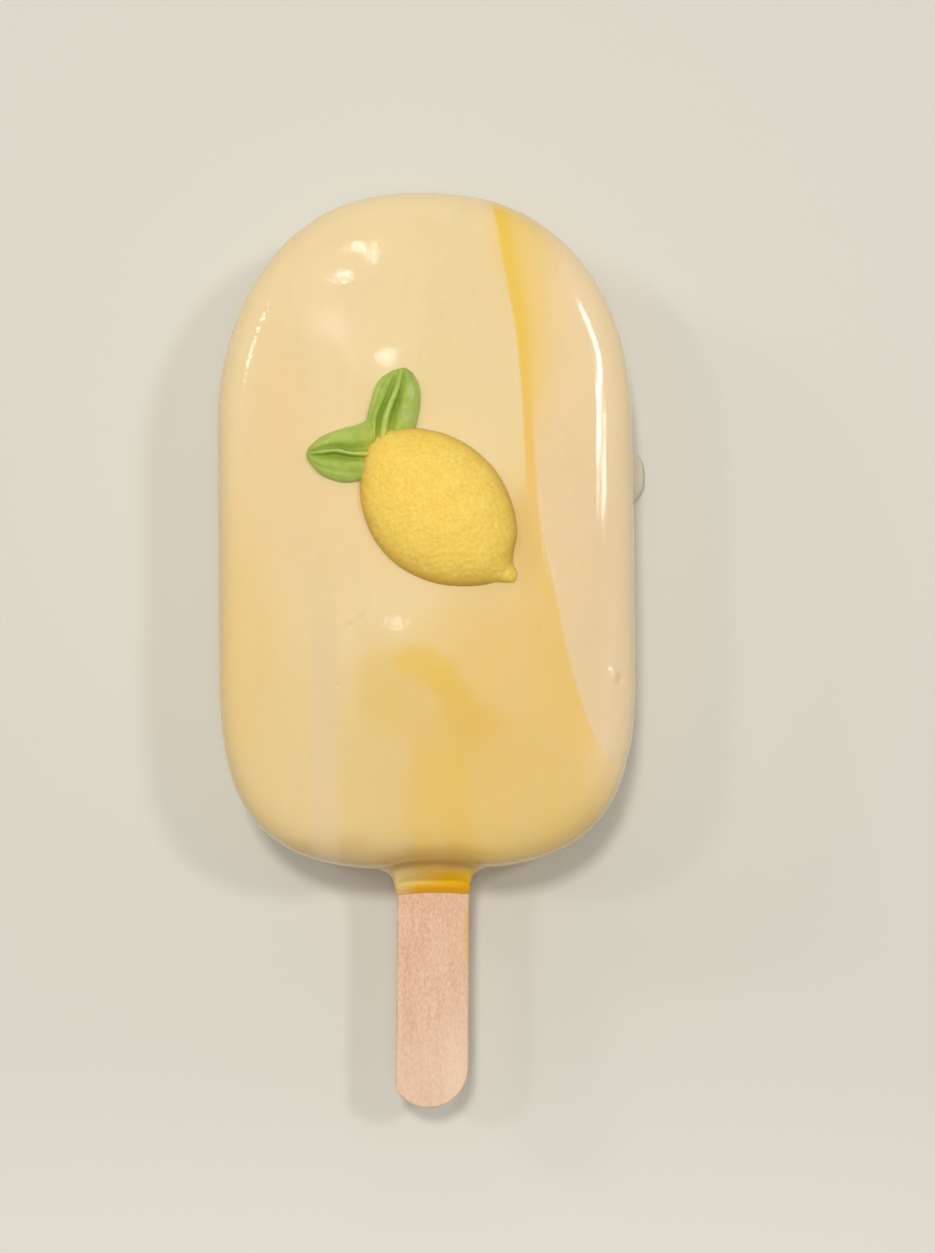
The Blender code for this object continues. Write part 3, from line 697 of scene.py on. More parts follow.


# The marbling, from the ground colour up: washes of colour, each an ellipse on the face given by
# its middle, half sizes, turn, softness, strength and colour. Some are painted light and shade,
# marked where they stand.
CREAM = (240, 217, 168)
CREAM_DEEP = (238, 214, 163)
WASHES_AND_PAINTED_LIGHT = (
    ((4.0, 33.0), (11.0, 20.0), 10, 0.55, 0.7, (238, 216, 163)),
    ((-17.5, 44.0), (8.0, 14.0), -25, 0.6, 0.7, (241, 217, 170)),
    # Painted light: the far end's shoulder made lighter where the light falls on it.
    ((-3.0, 60.0), (20.0, 5.0), 0, 0.6, 0.7, (243, 222, 176)),
    ((-19.5, 28.0), (4.0, 11.0), 0, 0.6, 0.8, (240, 210, 157)),
    ((-24.5, -2.0), (4.6, 19.0), 0, 0.6, 0.8, (237, 206, 140)),
    ((-13.5, 12.0), (10.0, 9.0), 0, 0.7, 0.6, (236, 208, 156)),
    ((-18.5, -17.0), (7.0, 16.0), 0, 0.6, 0.7, (231, 204, 144)),
    ((9.0, -8.0), (11.5, 15.0), 0, 0.45, 0.95, (235, 202, 128)),
    ((10.0, -23.0), (17.0, 12.0), 0, 0.5, 0.95, (232, 199, 121)),
    ((-6.0, -18.0), (7.0, 16.0), 0, 0.5, 0.7, (229, 200, 134)),
    ((-6.6, -7.4), (2.7, 5.8), 0, 0.7, 0.65, (231, 199, 118)),
    ((-3.2, -9.2), (2.8, 4.4), 0, 0.6, 0.6, (231, 198, 120)),
    ((-0.4, -5.2), (4.6, 2.3), -32, 0.4, 0.9, (234, 198, 98)),
    ((2.6, -8.4), (3.0, 2.3), -30, 0.5, 0.8, (232, 194, 92)),
    ((5.4, -12.0), (3.4, 2.6), 15, 0.6, 0.7, (233, 190, 98)),
    ((1.8, -15.0), (4.0, 4.0), 0, 0.6, 0.6, (231, 193, 102)),
    ((1.2, -23.5), (4.0, 9.5), 0, 0.45, 0.8, (234, 196, 104)),
    # Painted shade: the near end's shoulder on the left, darker where it turns from the light.
    ((-14.0, -29.0), (10.0, 2.6), 0, 0.6, 0.8, (218, 183, 124)),
    # Painted shade: the crease where the collar meets the near end's wall.
    ((0.0, -29.2), (7.0, 1.8), 0, 0.5, 0.8, (222, 178, 82)),
    # Painted shadow: the lemon's shadow on the coating to its right.
    ((12.2, 12.0), (1.7, 6.0), 0, 0.6, 0.7, (226, 184, 104)),
    ((11.6, 52.0), (3.0, 7.0), 8, 0.7, 0.7, (240, 204, 108)),
)
# Over them lie the pale band, the streak, the tongue and the rest. Each has its colours, and pairs
# of x, y or z between which its mask comes in or goes.
PALE_BAND = (231, 206, 161)
BAND_LEFT = (-16.6, -14.4)
BAND_RIGHT = (-12.9, -11.5)
BAND_ENDS = (-3, 8)
FRAY = 0.18
PEACH = (241, 214, 167)
PEACH_FROM = (14, 26)
STREAK_HALO = (241, 208, 124)
HALO_FROM = (2, 30)
HALO_HALF = 2.4
HALO_HALF_AT = 18
HALO_GROWS = 0.16
STREAK_YELLOW = (240, 203, 84)
STREAK_ORANGE = (240, 198, 112)
STREAK_TURNS = (18, 54)
STREAK_FROM = (0, 16)
STREAK_HALF = 1.1
STREAK_HALF_AT = 20
STREAK_GROWS = 0.022
BESIDE_TONGUE = (236, 199, 115)
BESIDE_ENDS = (12, 28)
TONGUE = (237, 209, 166)
TONGUE_LOW = (233, 208, 164)
TONGUE_TURNS = (-16, 20)
TONGUE_ENDS = (18, 36)
CLOUDS = (224, 206, 156)
COLLAR_YELLOW = (250, 197, 0)
COLLAR_CREAM = (250, 218, 142)
COLLAR_FROM = (-31.0, -29.4)
BEAD_ORANGE = (230, 160, 2)
BEAD_CREAM = (230, 187, 112)
BEAD_FROM = (-32.6, -31.6)
SPECKLE = (222, 188, 128)
SHOULDER_PAINTED_LIGHT = (248, 224, 186)
SHOULDER_BELOW = (24.3, 25.3)
RIM_THIN_AND_PAINTED_SHEEN = (255, 226, 180)
RIM_BELOW = (22.6, 24.4)
EDGES_FROM = (-26, -14)
DRIP_COLOUR = (230, 220, 198)
# Where the gloss is dull, and where it is high with a fine grain, each as an ellipse's middle and
# half sizes. The gloss is grainy along the upper left edge too, and matt at the bar's foot.
DULL_PLACES = (((-9.4, 49.4), (10.0, 7.8)), ((-6.0, 38.0), (5.0, 5.0)), ((-3.6, 3.2), (9.0, 7.0)))
GRAINY_PLACES = (
    ((-9.9, 51.3), (3.2, 1.3)),
    ((-7.4, 50.2), (1.1, 1.9)),
    ((-11.3, 46.7), (1.9, 0.9)),
    ((-4.7, 52.9), (1.0, 0.7)),
    ((-2.5, 54.1), (1.1, 0.5)),
    ((-4.5, 35.8), (2.3, 1.2)),
    ((-4.5, 1.1), (1.9, 0.9)),
)
GRAINY_LEFT = (-21, -17)
GRAINY_UP = (26, 36)
FOOT_MATT = (0.4, 1.6)


def edge_curve(y, points):
    """The x of an edge at y, from a smooth curve through its points."""
    low, high = points[0][0], points[-1][0]
    reach = 40.0
    stops = [((at - low) / (high - low), x / reach) for at, x in points]
    share = (y - low) / (high - low)
    return y.add("FloatCurve", {"points": stops}, {"Value": share}) * reach


def set_points(mapping, points):
    """Puts points on a float curve."""
    line = mapping.curves[0].points
    line[0].location, line[-1].location = points[0], points[-1]
    for x, y in points[1:-1]:
        line.new(x, y)
    mapping.update()


def washed(place, drawn):
    """The ground and its washes, some of them painted light and shade, pushed about so that none
    of them keeps an ellipse's edge.
    """
    warped = place.moved((1, 0, 0), drawn.noise(9, 2.0) * 1.3)
    warped = warped.moved((0, 1, 0), drawn.scaled(-1, 1, 1).noise(11, 2.0) * 2.2)
    colour = place.noise(14).rise(-0.8, 0.8).mix(CREAM, CREAM_DEEP)
    for middle, half_sizes, turn, soft, strength, tint in WASHES_AND_PAINTED_LIGHT:
        mask = blob(warped, middle, half_sizes, turn, soft) * strength
        colour = mask.mix(colour, tint)
    return colour


def streaked(colour, x, y):
    """The pale band down the left, and the streak: peach right of its edge, then a halo and a
    core that widen up the bar."""
    band = x.rise(*BAND_LEFT) * (1 - x.rise(*BAND_RIGHT)) * (1 - y.rise(*BAND_ENDS))
    colour = (band * 0.8).mix(colour, PALE_BAND)
    off = x - edge_curve(y, STREAK_EDGE)
    colour = (off.rise(0, 2.5) * y.rise(*PEACH_FROM) * 0.9).mix(colour, PEACH)
    half = (y - HALO_HALF_AT) * HALO_GROWS + HALO_HALF
    halo = off.rise(-0.3, 0.4) * (1 - (off / half).rise(0.2, 1.3))
    colour = (halo * y.rise(*HALO_FROM)).mix(colour, STREAK_HALO)
    half = (y - STREAK_HALF_AT) * STREAK_GROWS + STREAK_HALF
    core = off.rise(-0.25, 0.25) * (1 - (off / half).rise(0.5, 1.6))
    gold = y.rise(*STREAK_TURNS).mix(STREAK_ORANGE, STREAK_YELLOW)
    return (core * y.rise(*STREAK_FROM)).mix(colour, gold)


def tongued(colour, x, y, fray):
    """The pale tongue up to its edge and its tip's arc, and the yellow left of it."""
    off = x + fray - edge_curve(y, TONGUE_EDGE)
    beside = off.rise(-6.5, -0.4) * (1 - y.rise(*BESIDE_ENDS))
    colour = (beside * 0.75).mix(colour, BESIDE_TONGUE)
    aside = x - TONGUE_TIP[0]
    arc = aside * aside * TONGUE_TIP_CURVE + TONGUE_TIP[1]
    tongue = off.rise(-0.25, 0.25) * (y + fray - arc).rise(-0.3, 0.3)
    shade = y.rise(*TONGUE_TURNS).mix(TONGUE_LOW, TONGUE)
    return (tongue * (1 - y.rise(*TONGUE_ENDS))).mix(colour, shade)


def collared(colour, x, y, on_collar):
    """The collar, yellow on its right and cream on its left, and a deeper bead at its lip."""
    collar = x.rise(-5.0, 2.0).mix(COLLAR_CREAM, COLLAR_YELLOW)
    bead = x.rise(-4.5, -1.5).mix(BEAD_CREAM, BEAD_ORANGE)
    return on_collar.mix(colour, (1 - y.rise(*BEAD_FROM)).mix(collar, bead))


def edged(colour, place, x, y, z):
    """Painted light on the right shoulder; the rim paler on the right and round the far end,
    partly where the coating is thin and partly as a painted reflection of the pale floor; and the
    drip at the foot."""
    # Painted light on the right shoulder.
    shoulder = (1 - z.rise(*SHOULDER_BELOW)) * x.rise(15, 20) * y.rise(*EDGES_FROM)
    colour = (shoulder * 0.5).mix(colour, SHOULDER_PAINTED_LIGHT)
    # The rim is paler partly where the coating is thin, partly as a painted reflection of the pale
    # floor.
    rim = (1 - z.rise(*RIM_BELOW)) * y.rise(*EDGES_FROM) * (x.rise(13, 22) + y.rise(24, 44) * 0.5)
    colour = (rim * 0.85).mix(colour, RIM_THIN_AND_PAINTED_SHEEN)
    foot = blob(place, DRIP_AT + [1.0, 0.0], (2.2, 5.0), 0, 0.3) * (1 - z.rise(2.6, 4.6))
    return foot.mix(colour, DRIP_COLOUR)


def gathered(place, ellipses):
    """The masks of several ellipses on the face, added up."""
    return sum(blob(place, middle, half_sizes, 0, 0.4) for middle, half_sizes in ellipses)


def candy_coating():
    """Marbled candy coating, with painted shade and light in some of its washes and on its
    shoulder and rim. The marbling is in one plane seen from above and drawn out a little along the
    bar. The gloss has a fine orange peel, is grainy in some places and dull round them, and is
    less on the collar and at the foot."""
    material, shader, place = new_material(
        "candy_coating", IOR=1.46, Subsurface_Weight=0.4, Subsurface_Scale=1.5 * MM,
        Subsurface_Radius=(1.0, 0.65, 0.35))
    x, y, z = (place.axis(letter) for letter in "XYZ")
    drawn = place.scaled(1, 0.45, 0.6)
    fray = drawn.noise(3.2, 3.0) * FRAY
    colour = streaked(washed(place, drawn), x + fray, y)
    colour = tongued(colour, x, y, fray)
    clouds = drawn.moved((7, 3, 0)).noise(3.6, 4.0, 0.65).rise(-0.15, 0.6) * 0.3
    colour = clouds.mix(colour, CLOUDS)
    on_collar = 1 - y.rise(*COLLAR_FROM)
    colour = collared(colour, x + drawn.noise(2.4) * 1.2, y, on_collar)
    speckle = place.noise(0.8, 3.0, 0.7).rise(-0.6, 0.6) * 0.10
    colour = edged(speckle.mix(colour, SPECKLE), place, x, y, z)
    grainy = (1 - x.rise(*GRAINY_LEFT)) * y.rise(*GRAINY_UP) + gathered(place, GRAINY_PLACES)
    grainy = grainy.rise(0, 0.7)
    dull = gathered(place, DULL_PLACES).rise(0, 1) * (1 - grainy)
    peel = place.noise(0.7, 1.0) * (grainy * 0.010 + 0.0002) + place.noise(2.6, 1.0) * 0.003
    matt = 1 - z.rise(*FOOT_MATT)
    gloss = place.noise(6, 2.0) * 0.02 + matt * 0.4 + on_collar * 0.28 + dull * 0.16 + 0.10
    feed(shader, Base_Color=colour, Normal=peel.bumped(), Roughness=gloss)
    return material


def make_coating():
    """The coated bar with the collar round its stick. The wall's grid leaves a block open
    where the stick goes in, and the collar's rings begin on that block's edge."""
    rings = bar_rings()
    rows = len(rings)
    middle = BAR_COLUMNS // 2
    left, right = middle - COLLAR_COLUMNS, middle + COLLAR_COLUMNS
    low = 1 + FOOT_STEPS
    high = low + COLLAR_STEPS
    index = np.arange(rows * BAR_COLUMNS).reshape(rows, BAR_COLUMNS)
    edge = np.r_[index[low, left:right], index[low:high, right],
                 index[high, right:left:-1], index[high:low:-1, left]]
    quads = grid_faces(rows, BAR_COLUMNS).reshape(rows - 1, BAR_COLUMNS, 4)
    keep = np.ones((rows - 1, BAR_COLUMNS), bool)
    keep[low:high, left:right] = False
    points = rings.reshape(-1, 3)
    collar = collar_rings(points[edge])
    heart = rings[-1].mean(axis=0)
    top, under = [*FACE_HEART, heart[2]], [*BAR_AT, 0]
    end = collar[-1].mean(axis=0)
    first = len(points)
    points = np.vstack([points, *collar, top, under, end])
    faces = [*quads[keep], *fan(index[-1], len(points) - 3), *fan(index[0][::-1], len(points) - 2)]
    size = len(edge)
    ring = edge
    for number in range(len(collar)):
        further = first + number * size + np.arange(size)
        faces += [*np.stack([ring, np.roll(ring, -1), np.roll(further, -1), further], axis=1)]
        ring = further
    faces += [*fan(ring, len(points) - 1)]
    piece = add_mesh("candy_coat", points, faces, candy_coating())
    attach(piece, "root")
    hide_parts("coating")


make_coating()


# ---- The stick ---------------------------------------------------------------------------------
# A flat birch stick, cut from veneer and punched at its ends by a round die that sits a little to
# one side, so that one corner stays. It runs on into the bar.
PUNCH_RADIUS = 5.05
PUNCH_ASIDE = -0.4
WOOD_DEEP = (214, 168, 136)
WOOD_PALE = (244, 207, 179)
WOOD_PALE_AND_EDGE_HIGHLIGHT = (244, 218, 190)
WOOD_PORES = (200, 150, 118)
SMEAR = (230, 180, 90)
STICK_COLUMNS = 40
STICK_ROWS = 90
EDGE_STEPS = 5


def rounded_run(length, edge, steps, edge_steps):
    """Places from 0 to a length, close together in the rounded edge at both ends, and how full
    the thickness is at each: a quarter circle over the edge, 1 between."""
    turn = np.linspace(0, math.pi / 2, edge_steps + 1)[:-1]
    near = edge * (1 - np.cos(turn))
    middle = np.linspace(edge, length - edge, steps + 1)
    places = np.r_[near, middle, (length - near)[::-1]]
    full = np.r_[np.sin(turn), np.ones(steps + 1), np.sin(turn)[::-1]]
    return places, full


def stick_faces():
    """The stick's upper face: x, y and z over a grid, straight lines from one punched end to the
    other, with all four edges rounded over."""
    places, full_across = rounded_run(STICK_WIDTH, STICK_EDGE_ROUND, STICK_COLUMNS, EDGE_STEPS)
    across = places - STICK_WIDTH / 2
    depth = PUNCH_RADIUS - np.sqrt((PUNCH_RADIUS ** 2 - (across - PUNCH_ASIDE) ** 2).clip(0))
    run, full_along = rounded_run(STICK_LENGTH, STICK_EDGE_ROUND, STICK_ROWS, EDGE_STEPS)
    share = (run / STICK_LENGTH)[:, None]
    y = STICK_NEAR_END + depth[None] * (1 - 2 * share) + STICK_LENGTH * share
    x = across[None] + stick_middle(y)
    straight = STICK_THICKNESS / 2 - STICK_EDGE_ROUND
    z = straight + STICK_EDGE_ROUND * np.minimum(full_across[None], full_along[:, None])
    return np.stack([x, y, z], axis=-1)


def birch_wood():
    """Pinkish birch: fine flecks and pores along the grain, a painted highlight along its rounded
    edges, paler toward its right side and its free end, and a thin yellow smear of coating on the
    right edge near the collar."""
    material, shader, place = new_material("birch_wood", Specular_IOR_Level=0.3)
    x, y = place.axis("X"), place.axis("Y")
    grain = place.scaled(1, 0.12, 1).noise(0.55, 3.0, 0.6)
    flecks = place.scaled(1, 0.5, 1).noise(0.32, 3.0, 0.7)
    broad = place.scaled(1, 0.2, 1).noise(4.0, 2.0)
    tone = (grain * 0.3 + flecks * 0.9 + broad * 0.4).rise(-0.65, 0.65)
    colour = tone.mix(WOOD_DEEP, WOOD_PALE)
    aside = x - stick_middle(y)
    # A painted highlight on the rounded edges, and paler toward the right side and the free end.
    highlight_and_pale = aside.math("ABSOLUTE").rise(4.0, 4.3) * 0.7 + aside.rise(0.5, 4.0) * 0.2
    highlight_and_pale = highlight_and_pale + (1 - y.rise(-58, -46)) * 0.35
    colour = highlight_and_pale.mix(colour, WOOD_PALE_AND_EDGE_HIGHLIGHT)
    colour = (flecks.rise(0.45, 0.8) * 0.35).mix(colour, WOOD_PORES)
    smear = (x + grain * 0.12).rise(3.6, 4.1) * y.rise(-44, -41) * (1 - y.rise(-36.5, -34))
    colour = (smear * 0.6).mix(colour, SMEAR)
    height = grain * 0.012 + flecks * 0.010
    feed(shader, Base_Color=colour, Normal=height.bumped(), Roughness=tone * -0.1 + 0.68)
    return material


def slab(upper, lower):
    """Points and faces of a grid, another grid beneath it, and the wall between their edges.
    Its rows run the way that is anticlockwise from its columns, seen from above."""
    rows, columns = upper.shape[:2]
    index = np.arange(rows * columns).reshape(rows, columns)
    quads = np.stack([index[:-1, :-1], index[:-1, 1:], index[1:, 1:], index[1:, :-1]],
                     axis=-1).reshape(-1, 4)
    edge = np.r_[index[0, :-1], index[:-1, -1], index[-1, :0:-1], index[:0:-1, 0]]
    beside = np.roll(edge, -1)
    wall = np.stack([edge + index.size, beside + index.size, beside, edge], axis=1)
    points = np.vstack([upper.reshape(-1, 3), lower.reshape(-1, 3)])
    return points, [*quads, *(quads[:, ::-1] + index.size), *wall]


def make_stick():
    """The stick: its upper face, the same face below, and the straight edge between them."""
    upper = stick_faces()
    points, faces = slab(upper, upper * [1, 1, -1])
    piece = add_mesh("birch_stick", points + [0, 0, STICK_LEVEL], faces, birch_wood())
    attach(piece, "root")
    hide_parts("stick")


make_stick()


# ---- The lemon ---------------------------------------------------------------------------------
# A small lemon of sugar paste, pressed in a mould and laid on the wet coating, so that it sits a
# little into it. The paste is matt, with a fine grain of sugar, and painted shade low down.
LEMON_AT = FACE_HEART
LEMON_TURN = math.radians(-47.0)
LEMON_HALF_LENGTH = 12.62
LEMON_HALF_WIDTH = 8.92
LEMON_POWER = 0.70
LEMON_BEND = 0.0028
LEMON_HEIGHT = 5.4
LEMON_TOP_POWER = 0.75
LEMON_COLUMNS = 320
LEMON_STEPS = 90
LEMON_SINKS = 0.25
NUB_RADIUS = 1.62
NUB_AT = 12.15
NUB_BLEND = 1.1
NUB_LOWER_FROM = 9.0
NUB_LOWER_POWER = 0.85
NECK_AT = 11.0
NECK_HALF = 1.0
NECK_DEPTH = 0.5
GRAIN_SIZE = 0.9
GRAIN_HEIGHT = 0.022
SWELL_SIZE = 4.5
SWELL_HEIGHT = 0.03
LEMON_CURVE_STEPS = 1200
LEMON_DEEP = (243, 200, 81)
LEMON_PALE = (255, 222, 115)
LEMON_PAINTED_SHADE = (214, 168, 62)
LEMON_SHADE_BELOW = (25.6, 28.6)
SUGAR_SPECKS = (253, 222, 130)
NUB_PLACE = (9.4, 7.0)
NUB_HALF_SIZES = (1.9, 1.9)


def smooth_most(a, b, soft):
    """The greater of two values, with the crease between them rounded over `soft`."""
    near = (1 - np.abs(a - b) / soft).clip(0)
    return np.maximum(a, b) + soft * near ** 2 / 4


def lemon_half_width(along, side):
    """Half the lemon's width along its axis: body (1 - t²)^power, joined on the upper side
    (side 1) to the nub's circle after a small Gaussian hollow, and on the lower side (side -1)
    to a nearly straight line to the nub's end."""
    tip = NUB_AT + NUB_RADIUS
    body = LEMON_HALF_WIDTH * (1 - (along / LEMON_HALF_LENGTH) ** 2).clip(0) ** LEMON_POWER
    nub = np.sqrt((NUB_RADIUS ** 2 - (along - NUB_AT) ** 2).clip(0))
    neck = NECK_DEPTH * np.exp(-((along - NECK_AT) / NECK_HALF) ** 2)
    line = (tip - along).clip(0) ** NUB_LOWER_POWER * (along > NUB_LOWER_FROM)
    upper = smooth_most(body, nub, NUB_BLEND) - neck
    lower = smooth_most(body, line, NUB_BLEND / 3)
    return np.where(side > 0, upper, lower).clip(0) * (along < tip)


def lemon_place(along, aside):
    """Lemon coordinates, along its slightly bent axis and aside, to x and y."""
    aside = aside + LEMON_BEND * along ** 2
    cos, sin = math.cos(LEMON_TURN), math.sin(LEMON_TURN)
    return np.stack([LEMON_AT[0] + along * cos - aside * sin,
                     LEMON_AT[1] + along * sin + aside * cos], axis=-1)


def lemon_outline():
    """The lemon from above, in its own coordinates, anticlockwise from its nub."""
    tip = NUB_AT + NUB_RADIUS
    turn = np.linspace(0, math.pi, LEMON_CURVE_STEPS)
    along = (tip - LEMON_HALF_LENGTH) / 2 + (tip + LEMON_HALF_LENGTH) / 2 * np.cos(turn)
    upper = np.stack([along, lemon_half_width(along, 1)], axis=1)
    lower = np.stack([along, -lemon_half_width(along, -1)], axis=1)[::-1]
    upper[[0, -1], 1] = 0
    lower[[0, -1], 1] = 0
    return evenly(np.vstack([upper[:-1], lower[:-1]]), LEMON_COLUMNS)


def lemon_height(along, aside):
    """Height over the face: half an ellipse across each section, its top following the
    section's width, so that the nub is low and grows out of the body."""
    half = lemon_half_width(along, aside)
    mean = (lemon_half_width(along, 1) + lemon_half_width(along, -1)) / 2
    top = LEMON_HEIGHT * (mean / LEMON_HALF_WIDTH) ** LEMON_TOP_POWER
    return top * np.sqrt((1 - (aside / half.clip(0.01)) ** 2).clip(0))


def lemon_paste():
    """Yellow sugar paste: a grain of sugar crystals, pale specks, and painted shade, darker and
    more orange, where the form turns down to the coating on its lower left, but not on the nub."""
    material, shader, place = new_material(
        "lemon_paste", Roughness=0.62, Specular_IOR_Level=0.35, Subsurface_Weight=0.3,
        Subsurface_Scale=0.8 * MM, Subsurface_Radius=(1.0, 0.7, 0.25))
    grains = place.noise(0.36, 3.0, 0.6)
    mottle = place.noise(1.5, 2.0)
    nub = blob(place, NUB_PLACE, NUB_HALF_SIZES, 0, 0.4)
    # Painted shade low down on the lemon, kept off the nub.
    low = (1 - place.axis("Z").rise(*LEMON_SHADE_BELOW)) * (1 - nub * 0.8)
    colour = (mottle * 0.3 + grains * 0.7).rise(-0.5, 0.5).mix(LEMON_DEEP, LEMON_PALE)
    colour = (low * 0.65).mix(colour, LEMON_PAINTED_SHADE)
    colour = (grains.rise(0.3, 0.7) * 0.4).mix(colour, SUGAR_SPECKS)
    height = grains * 0.03 + place.noise(0.8, 2.0) * 0.035
    feed(shader, Base_Color=colour, Normal=height.bumped())
    return material


def make_lemon():
    """The lemon: rings of its outline drawn in toward its middle, close together at the rim,
    with the grain's lumps on them, closed below by a flat underside inside the coating."""
    outline = lemon_outline()
    scale = np.sin(np.linspace(math.pi / 2, 0, LEMON_STEPS + 1))[:-1]
    local = outline[None] * scale[:, None, None]
    place = lemon_place(local[..., 0], local[..., 1])
    base = face_height(place[..., 0], place[..., 1]) - LEMON_SINKS
    rise = lemon_height(local[..., 0], local[..., 1])
    level = base + rise
    over = np.concatenate([place, level[..., None]], axis=2)
    grain = GRAIN_HEIGHT * uneven(place[..., 0], place[..., 1], GRAIN_SIZE, 11)
    grain = grain + SWELL_HEIGHT * uneven(place[..., 0], place[..., 1], SWELL_SIZE, 12)
    grain = grain * step(rise, 0.0, 1.0)
    over = over + outward_normals(over) * grain[..., None]
    points = over.reshape(-1, 3)
    heart = lemon_place(0.0, 0.0)
    floor = face_height(*heart) - LEMON_SINKS
    poles = [[*heart, over[-1, :, 2].mean()], [*heart, floor]]
    size = len(outline)
    faces = [*grid_faces(LEMON_STEPS, size),
             *fan((LEMON_STEPS - 1) * size + np.arange(size), len(points)),
             *fan(np.arange(size)[::-1], len(points) + 1)]
    piece = add_mesh("sugar_lemon", np.vstack([points, poles]), faces, lemon_paste())
    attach(piece, "root")
    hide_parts("lemon")


make_lemon()


# ---- The leaves --------------------------------------------------------------------------------
# Two leaves of green sugar paste from a mould, each with two full lobes and a raised midrib
# between two grooves. They lie on the coating with their bases against the lemon.
LEAF_COLUMNS = 100
LEAF_ROWS = 70
LEAF_THICKNESS = 2.3
LEAF_EDGE = 0.55
LEAF_SINKS = 0.25
GROOVE_DEPTH = 0.85
GROOVE_INNER = 0.42
GROOVE_OUTER = 0.20
FOLD_AT = -1.66
FOLD_HALF = 0.1
FOLD_DEPTH = 0.2
RIB_HALF = 0.4
BASE_HALF = 1.5
BASE_LENGTH = 0.2
WAVES_SIZE = 2.6
WAVES_HEIGHT = 0.06
LEAF_DEEP = (154, 176, 72)
LEAF_PALE = (176, 194, 88)
LEAF_LOBE_HIGHLIGHT = (192, 208, 108)
LEAF_GROOVE_SHADE = (118, 152, 44)
LEAF_RIDGE_HIGHLIGHT_AND_RIM = (192, 210, 124)
LEAF_BASE = (206, 200, 84)
# Each leaf's left edge, left groove, midrib, right groove and right edge, each a smooth line
# through five places from its base to its tip.
LEAVES = {
    "leaf_upper": (
        ((-7.60, 23.80), (-8.15, 27.00), (-7.60, 29.80), (-6.60, 32.60), (-4.85, 34.00)),
        ((-6.80, 24.70), (-6.45, 27.40), (-5.75, 29.30), (-4.95, 31.20), (-3.95, 34.25)),
        ((-6.00, 24.90), (-5.55, 27.60), (-4.95, 29.40), (-4.20, 31.30), (-3.50, 34.35)),
        ((-5.30, 25.10), (-4.75, 27.80), (-4.25, 29.40), (-3.60, 31.20), (-3.05, 34.30)),
        ((-2.10, 25.30), (-1.40, 28.20), (-1.15, 30.20), (-1.35, 32.10), (-2.15, 33.75)),
    ),
    "leaf_side": (
        ((-8.00, 19.90), (-10.40, 19.45), (-12.20, 19.70), (-14.20, 20.60), (-15.75, 22.40)),
        ((-7.60, 22.30), (-10.30, 22.60), (-12.20, 22.95), (-13.90, 22.80), (-15.88, 22.95)),
        ((-7.50, 22.75), (-10.25, 22.95), (-11.90, 23.35), (-13.70, 23.25), (-15.95, 23.15)),
        ((-7.30, 23.60), (-10.10, 23.50), (-11.50, 23.85), (-13.30, 23.75), (-15.88, 23.40)),
        ((-6.90, 28.30), (-9.30, 26.95), (-11.30, 26.45), (-13.90, 25.50), (-15.70, 23.95)),
    ),
}
# Painted highlights on the lobes, each as an ellipse's middle, half sizes and turn.
LOBE_HIGHLIGHT_PLACES = (
    ((-12.3, 25.0), (2.6, 0.8), 14),
    ((-12.0, 21.0), (2.0, 0.5), -20),
    ((-6.7, 31.2), (0.5, 1.7), -16),
)


def smooth_line(points, share):
    """A Catmull-Rom curve through a few points, at shares 0 to 1 of the way: each stretch is
    the cubic whose ends run along the chord of their neighbours."""
    points = np.asarray(points)
    ends = np.vstack([2 * points[0] - points[1], points, 2 * points[-1] - points[-2]])
    place = share * (len(points) - 1)
    first = np.minimum(place.astype(int), len(points) - 2)
    t = (place - first)[..., None]
    a, b, c, d = (ends[first + offset] for offset in range(4))
    return b + t / 2 * (c - a + t * (2 * a - 5 * b + 4 * c - d + t * (3 * (b - c) + d - a)))


def leaf_flat(lines, across, along):
    """A leaf from above: across -2 to 2 from its left edge to its right, with the grooves at
    -1 and 1 and the midrib at 0, straight between those lines; along 0 to 1, base to tip."""
    runs = np.stack([smooth_line(line, along) for line in lines], axis=1)
    left = np.minimum((across + 2).astype(int), 3)
    part = (across + 2 - left)[:, None]
    return runs[:, left] * (1 - part) + runs[:, left + 1] * part


def grooves_of(across, along):
    """How deep in a groove a place is, 0 to 1: Gaussians at -1 and 1, steeper on their outer
    sides, that fade toward the tip."""
    off = np.abs(across) - 1
    width = np.where(off < 0, GROOVE_INNER, GROOVE_OUTER)
    return np.exp(-(off / width) ** 2)[None] * (1 - along ** 4)[:, None]


def leaf_height(across, along):
    """Thickness over a leaf: full, rounding down at its edges and at its tip as 1 - t^4 to the
    half, less the grooves and a shallow fold along its left edge."""
    full = (1 - (np.abs(across) / 2) ** 4)[None] * (1 - along ** 6)[:, None]
    fold = np.exp(-((across - FOLD_AT) / FOLD_HALF) ** 2)[None] * np.sin(math.pi * along)[:, None]
    return (LEAF_EDGE + (LEAF_THICKNESS - LEAF_EDGE) * full.clip(0) ** 0.5
            - GROOVE_DEPTH * grooves_of(across, along) - FOLD_DEPTH * fold)


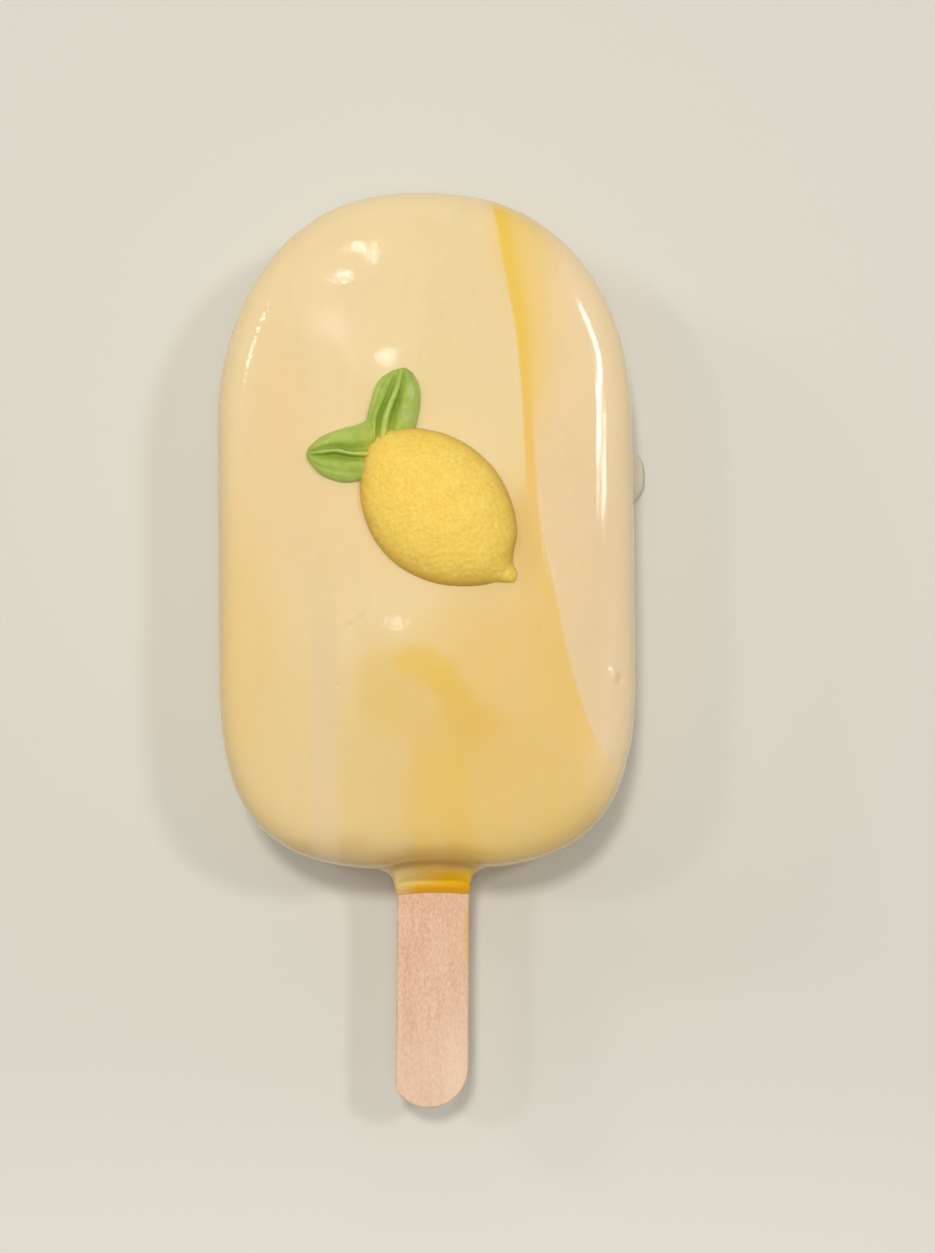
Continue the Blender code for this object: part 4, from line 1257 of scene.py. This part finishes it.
def leaf_paste():
    """Green sugar paste: satin where the mould pressed it smooth, with painted shade in the
    grooves, a painted highlight on the midrib and parts of the lobes, a paler rim where the paste
    is thin, and yellower against the lemon."""
    material, shader, place = new_material(
        "leaf_paste", Subsurface_Weight=0.3, Subsurface_Scale=0.7 * MM,
        Subsurface_Radius=(0.6, 1.0, 0.2))
    mottle = place.noise(1.1, 3.0)
    colour = mottle.rise(-0.7, 0.7).mix(LEAF_DEEP, LEAF_PALE)
    # The grooves get painted shade, the ridge a painted highlight on the midrib and a paler rim
    # where the paste is thin, the base a yellower tint.
    for shade, share, tint in (("groove", 0.75, LEAF_GROOVE_SHADE), ("ridge", 0.6, LEAF_RIDGE_HIGHLIGHT_AND_RIM),
                               ("base", 0.6, LEAF_BASE)):
        mask = place.add("Attribute", {"attribute_name": shade}, {}, "Fac")
        colour = (mask * share).mix(colour, tint)
    # Painted highlights on parts of the lobes.
    for middle, half_sizes, turn in LOBE_HIGHLIGHT_PLACES:
        highlight_and_pale = blob(place, middle, half_sizes, turn, 0.7)
        colour = (highlight_and_pale * (mottle * 0.4 + 0.45)).mix(colour, LEAF_LOBE_HIGHLIGHT)
    height = place.noise(0.5, 2.0) * 0.012
    feed(shader, Base_Color=colour, Normal=height.bumped(), Roughness=mottle * 0.06 + 0.36)
    return material


def make_leaf(name, lines, material):
    """A leaf: its upper face over the grid of its lines, and the same grid flat beneath it."""
    across = 2 * np.sin(np.linspace(-math.pi / 2, math.pi / 2, LEAF_COLUMNS))
    along = np.sin(np.linspace(0, math.pi / 2, LEAF_ROWS))
    flat = leaf_flat(lines, across, along)
    bottom = face_height(flat[..., 0], flat[..., 1]) - LEAF_SINKS
    waves = WAVES_HEIGHT * uneven(flat[..., 0], flat[..., 1], WAVES_SIZE, 21)
    upper = np.dstack([flat, bottom + leaf_height(across, along) + waves])
    points, faces = slab(upper, np.dstack([flat, bottom]))
    piece = add_mesh("sugar_" + name, points, faces, material)
    # Masks for the shader: grooves for painted shade, the midrib for a painted highlight, the rim
    # paler where the paste is thin.
    rib = np.exp(-(across / RIB_HALF) ** 2)[None] * (1 - along ** 4)[:, None]
    rim = (np.abs(across) / 2) ** 12 * np.ones((LEAF_ROWS, 1))
    base = np.exp(-(along / BASE_LENGTH) ** 2)[:, None] * np.exp(-(across / BASE_HALF) ** 4)[None]
    shades = {"groove": grooves_of(across, along), "ridge": np.maximum(rib, rim), "base": base}
    for shade, values in shades.items():
        values = np.r_[values.ravel(), np.zeros(values.size)]
        piece.data.attributes.new(shade, "FLOAT", "POINT").data.foreach_set("value", values)
    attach(piece, "root")
    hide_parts(name)


green = leaf_paste()
for leaf_name, leaf_lines in LEAVES.items():
    make_leaf(leaf_name, leaf_lines, green)
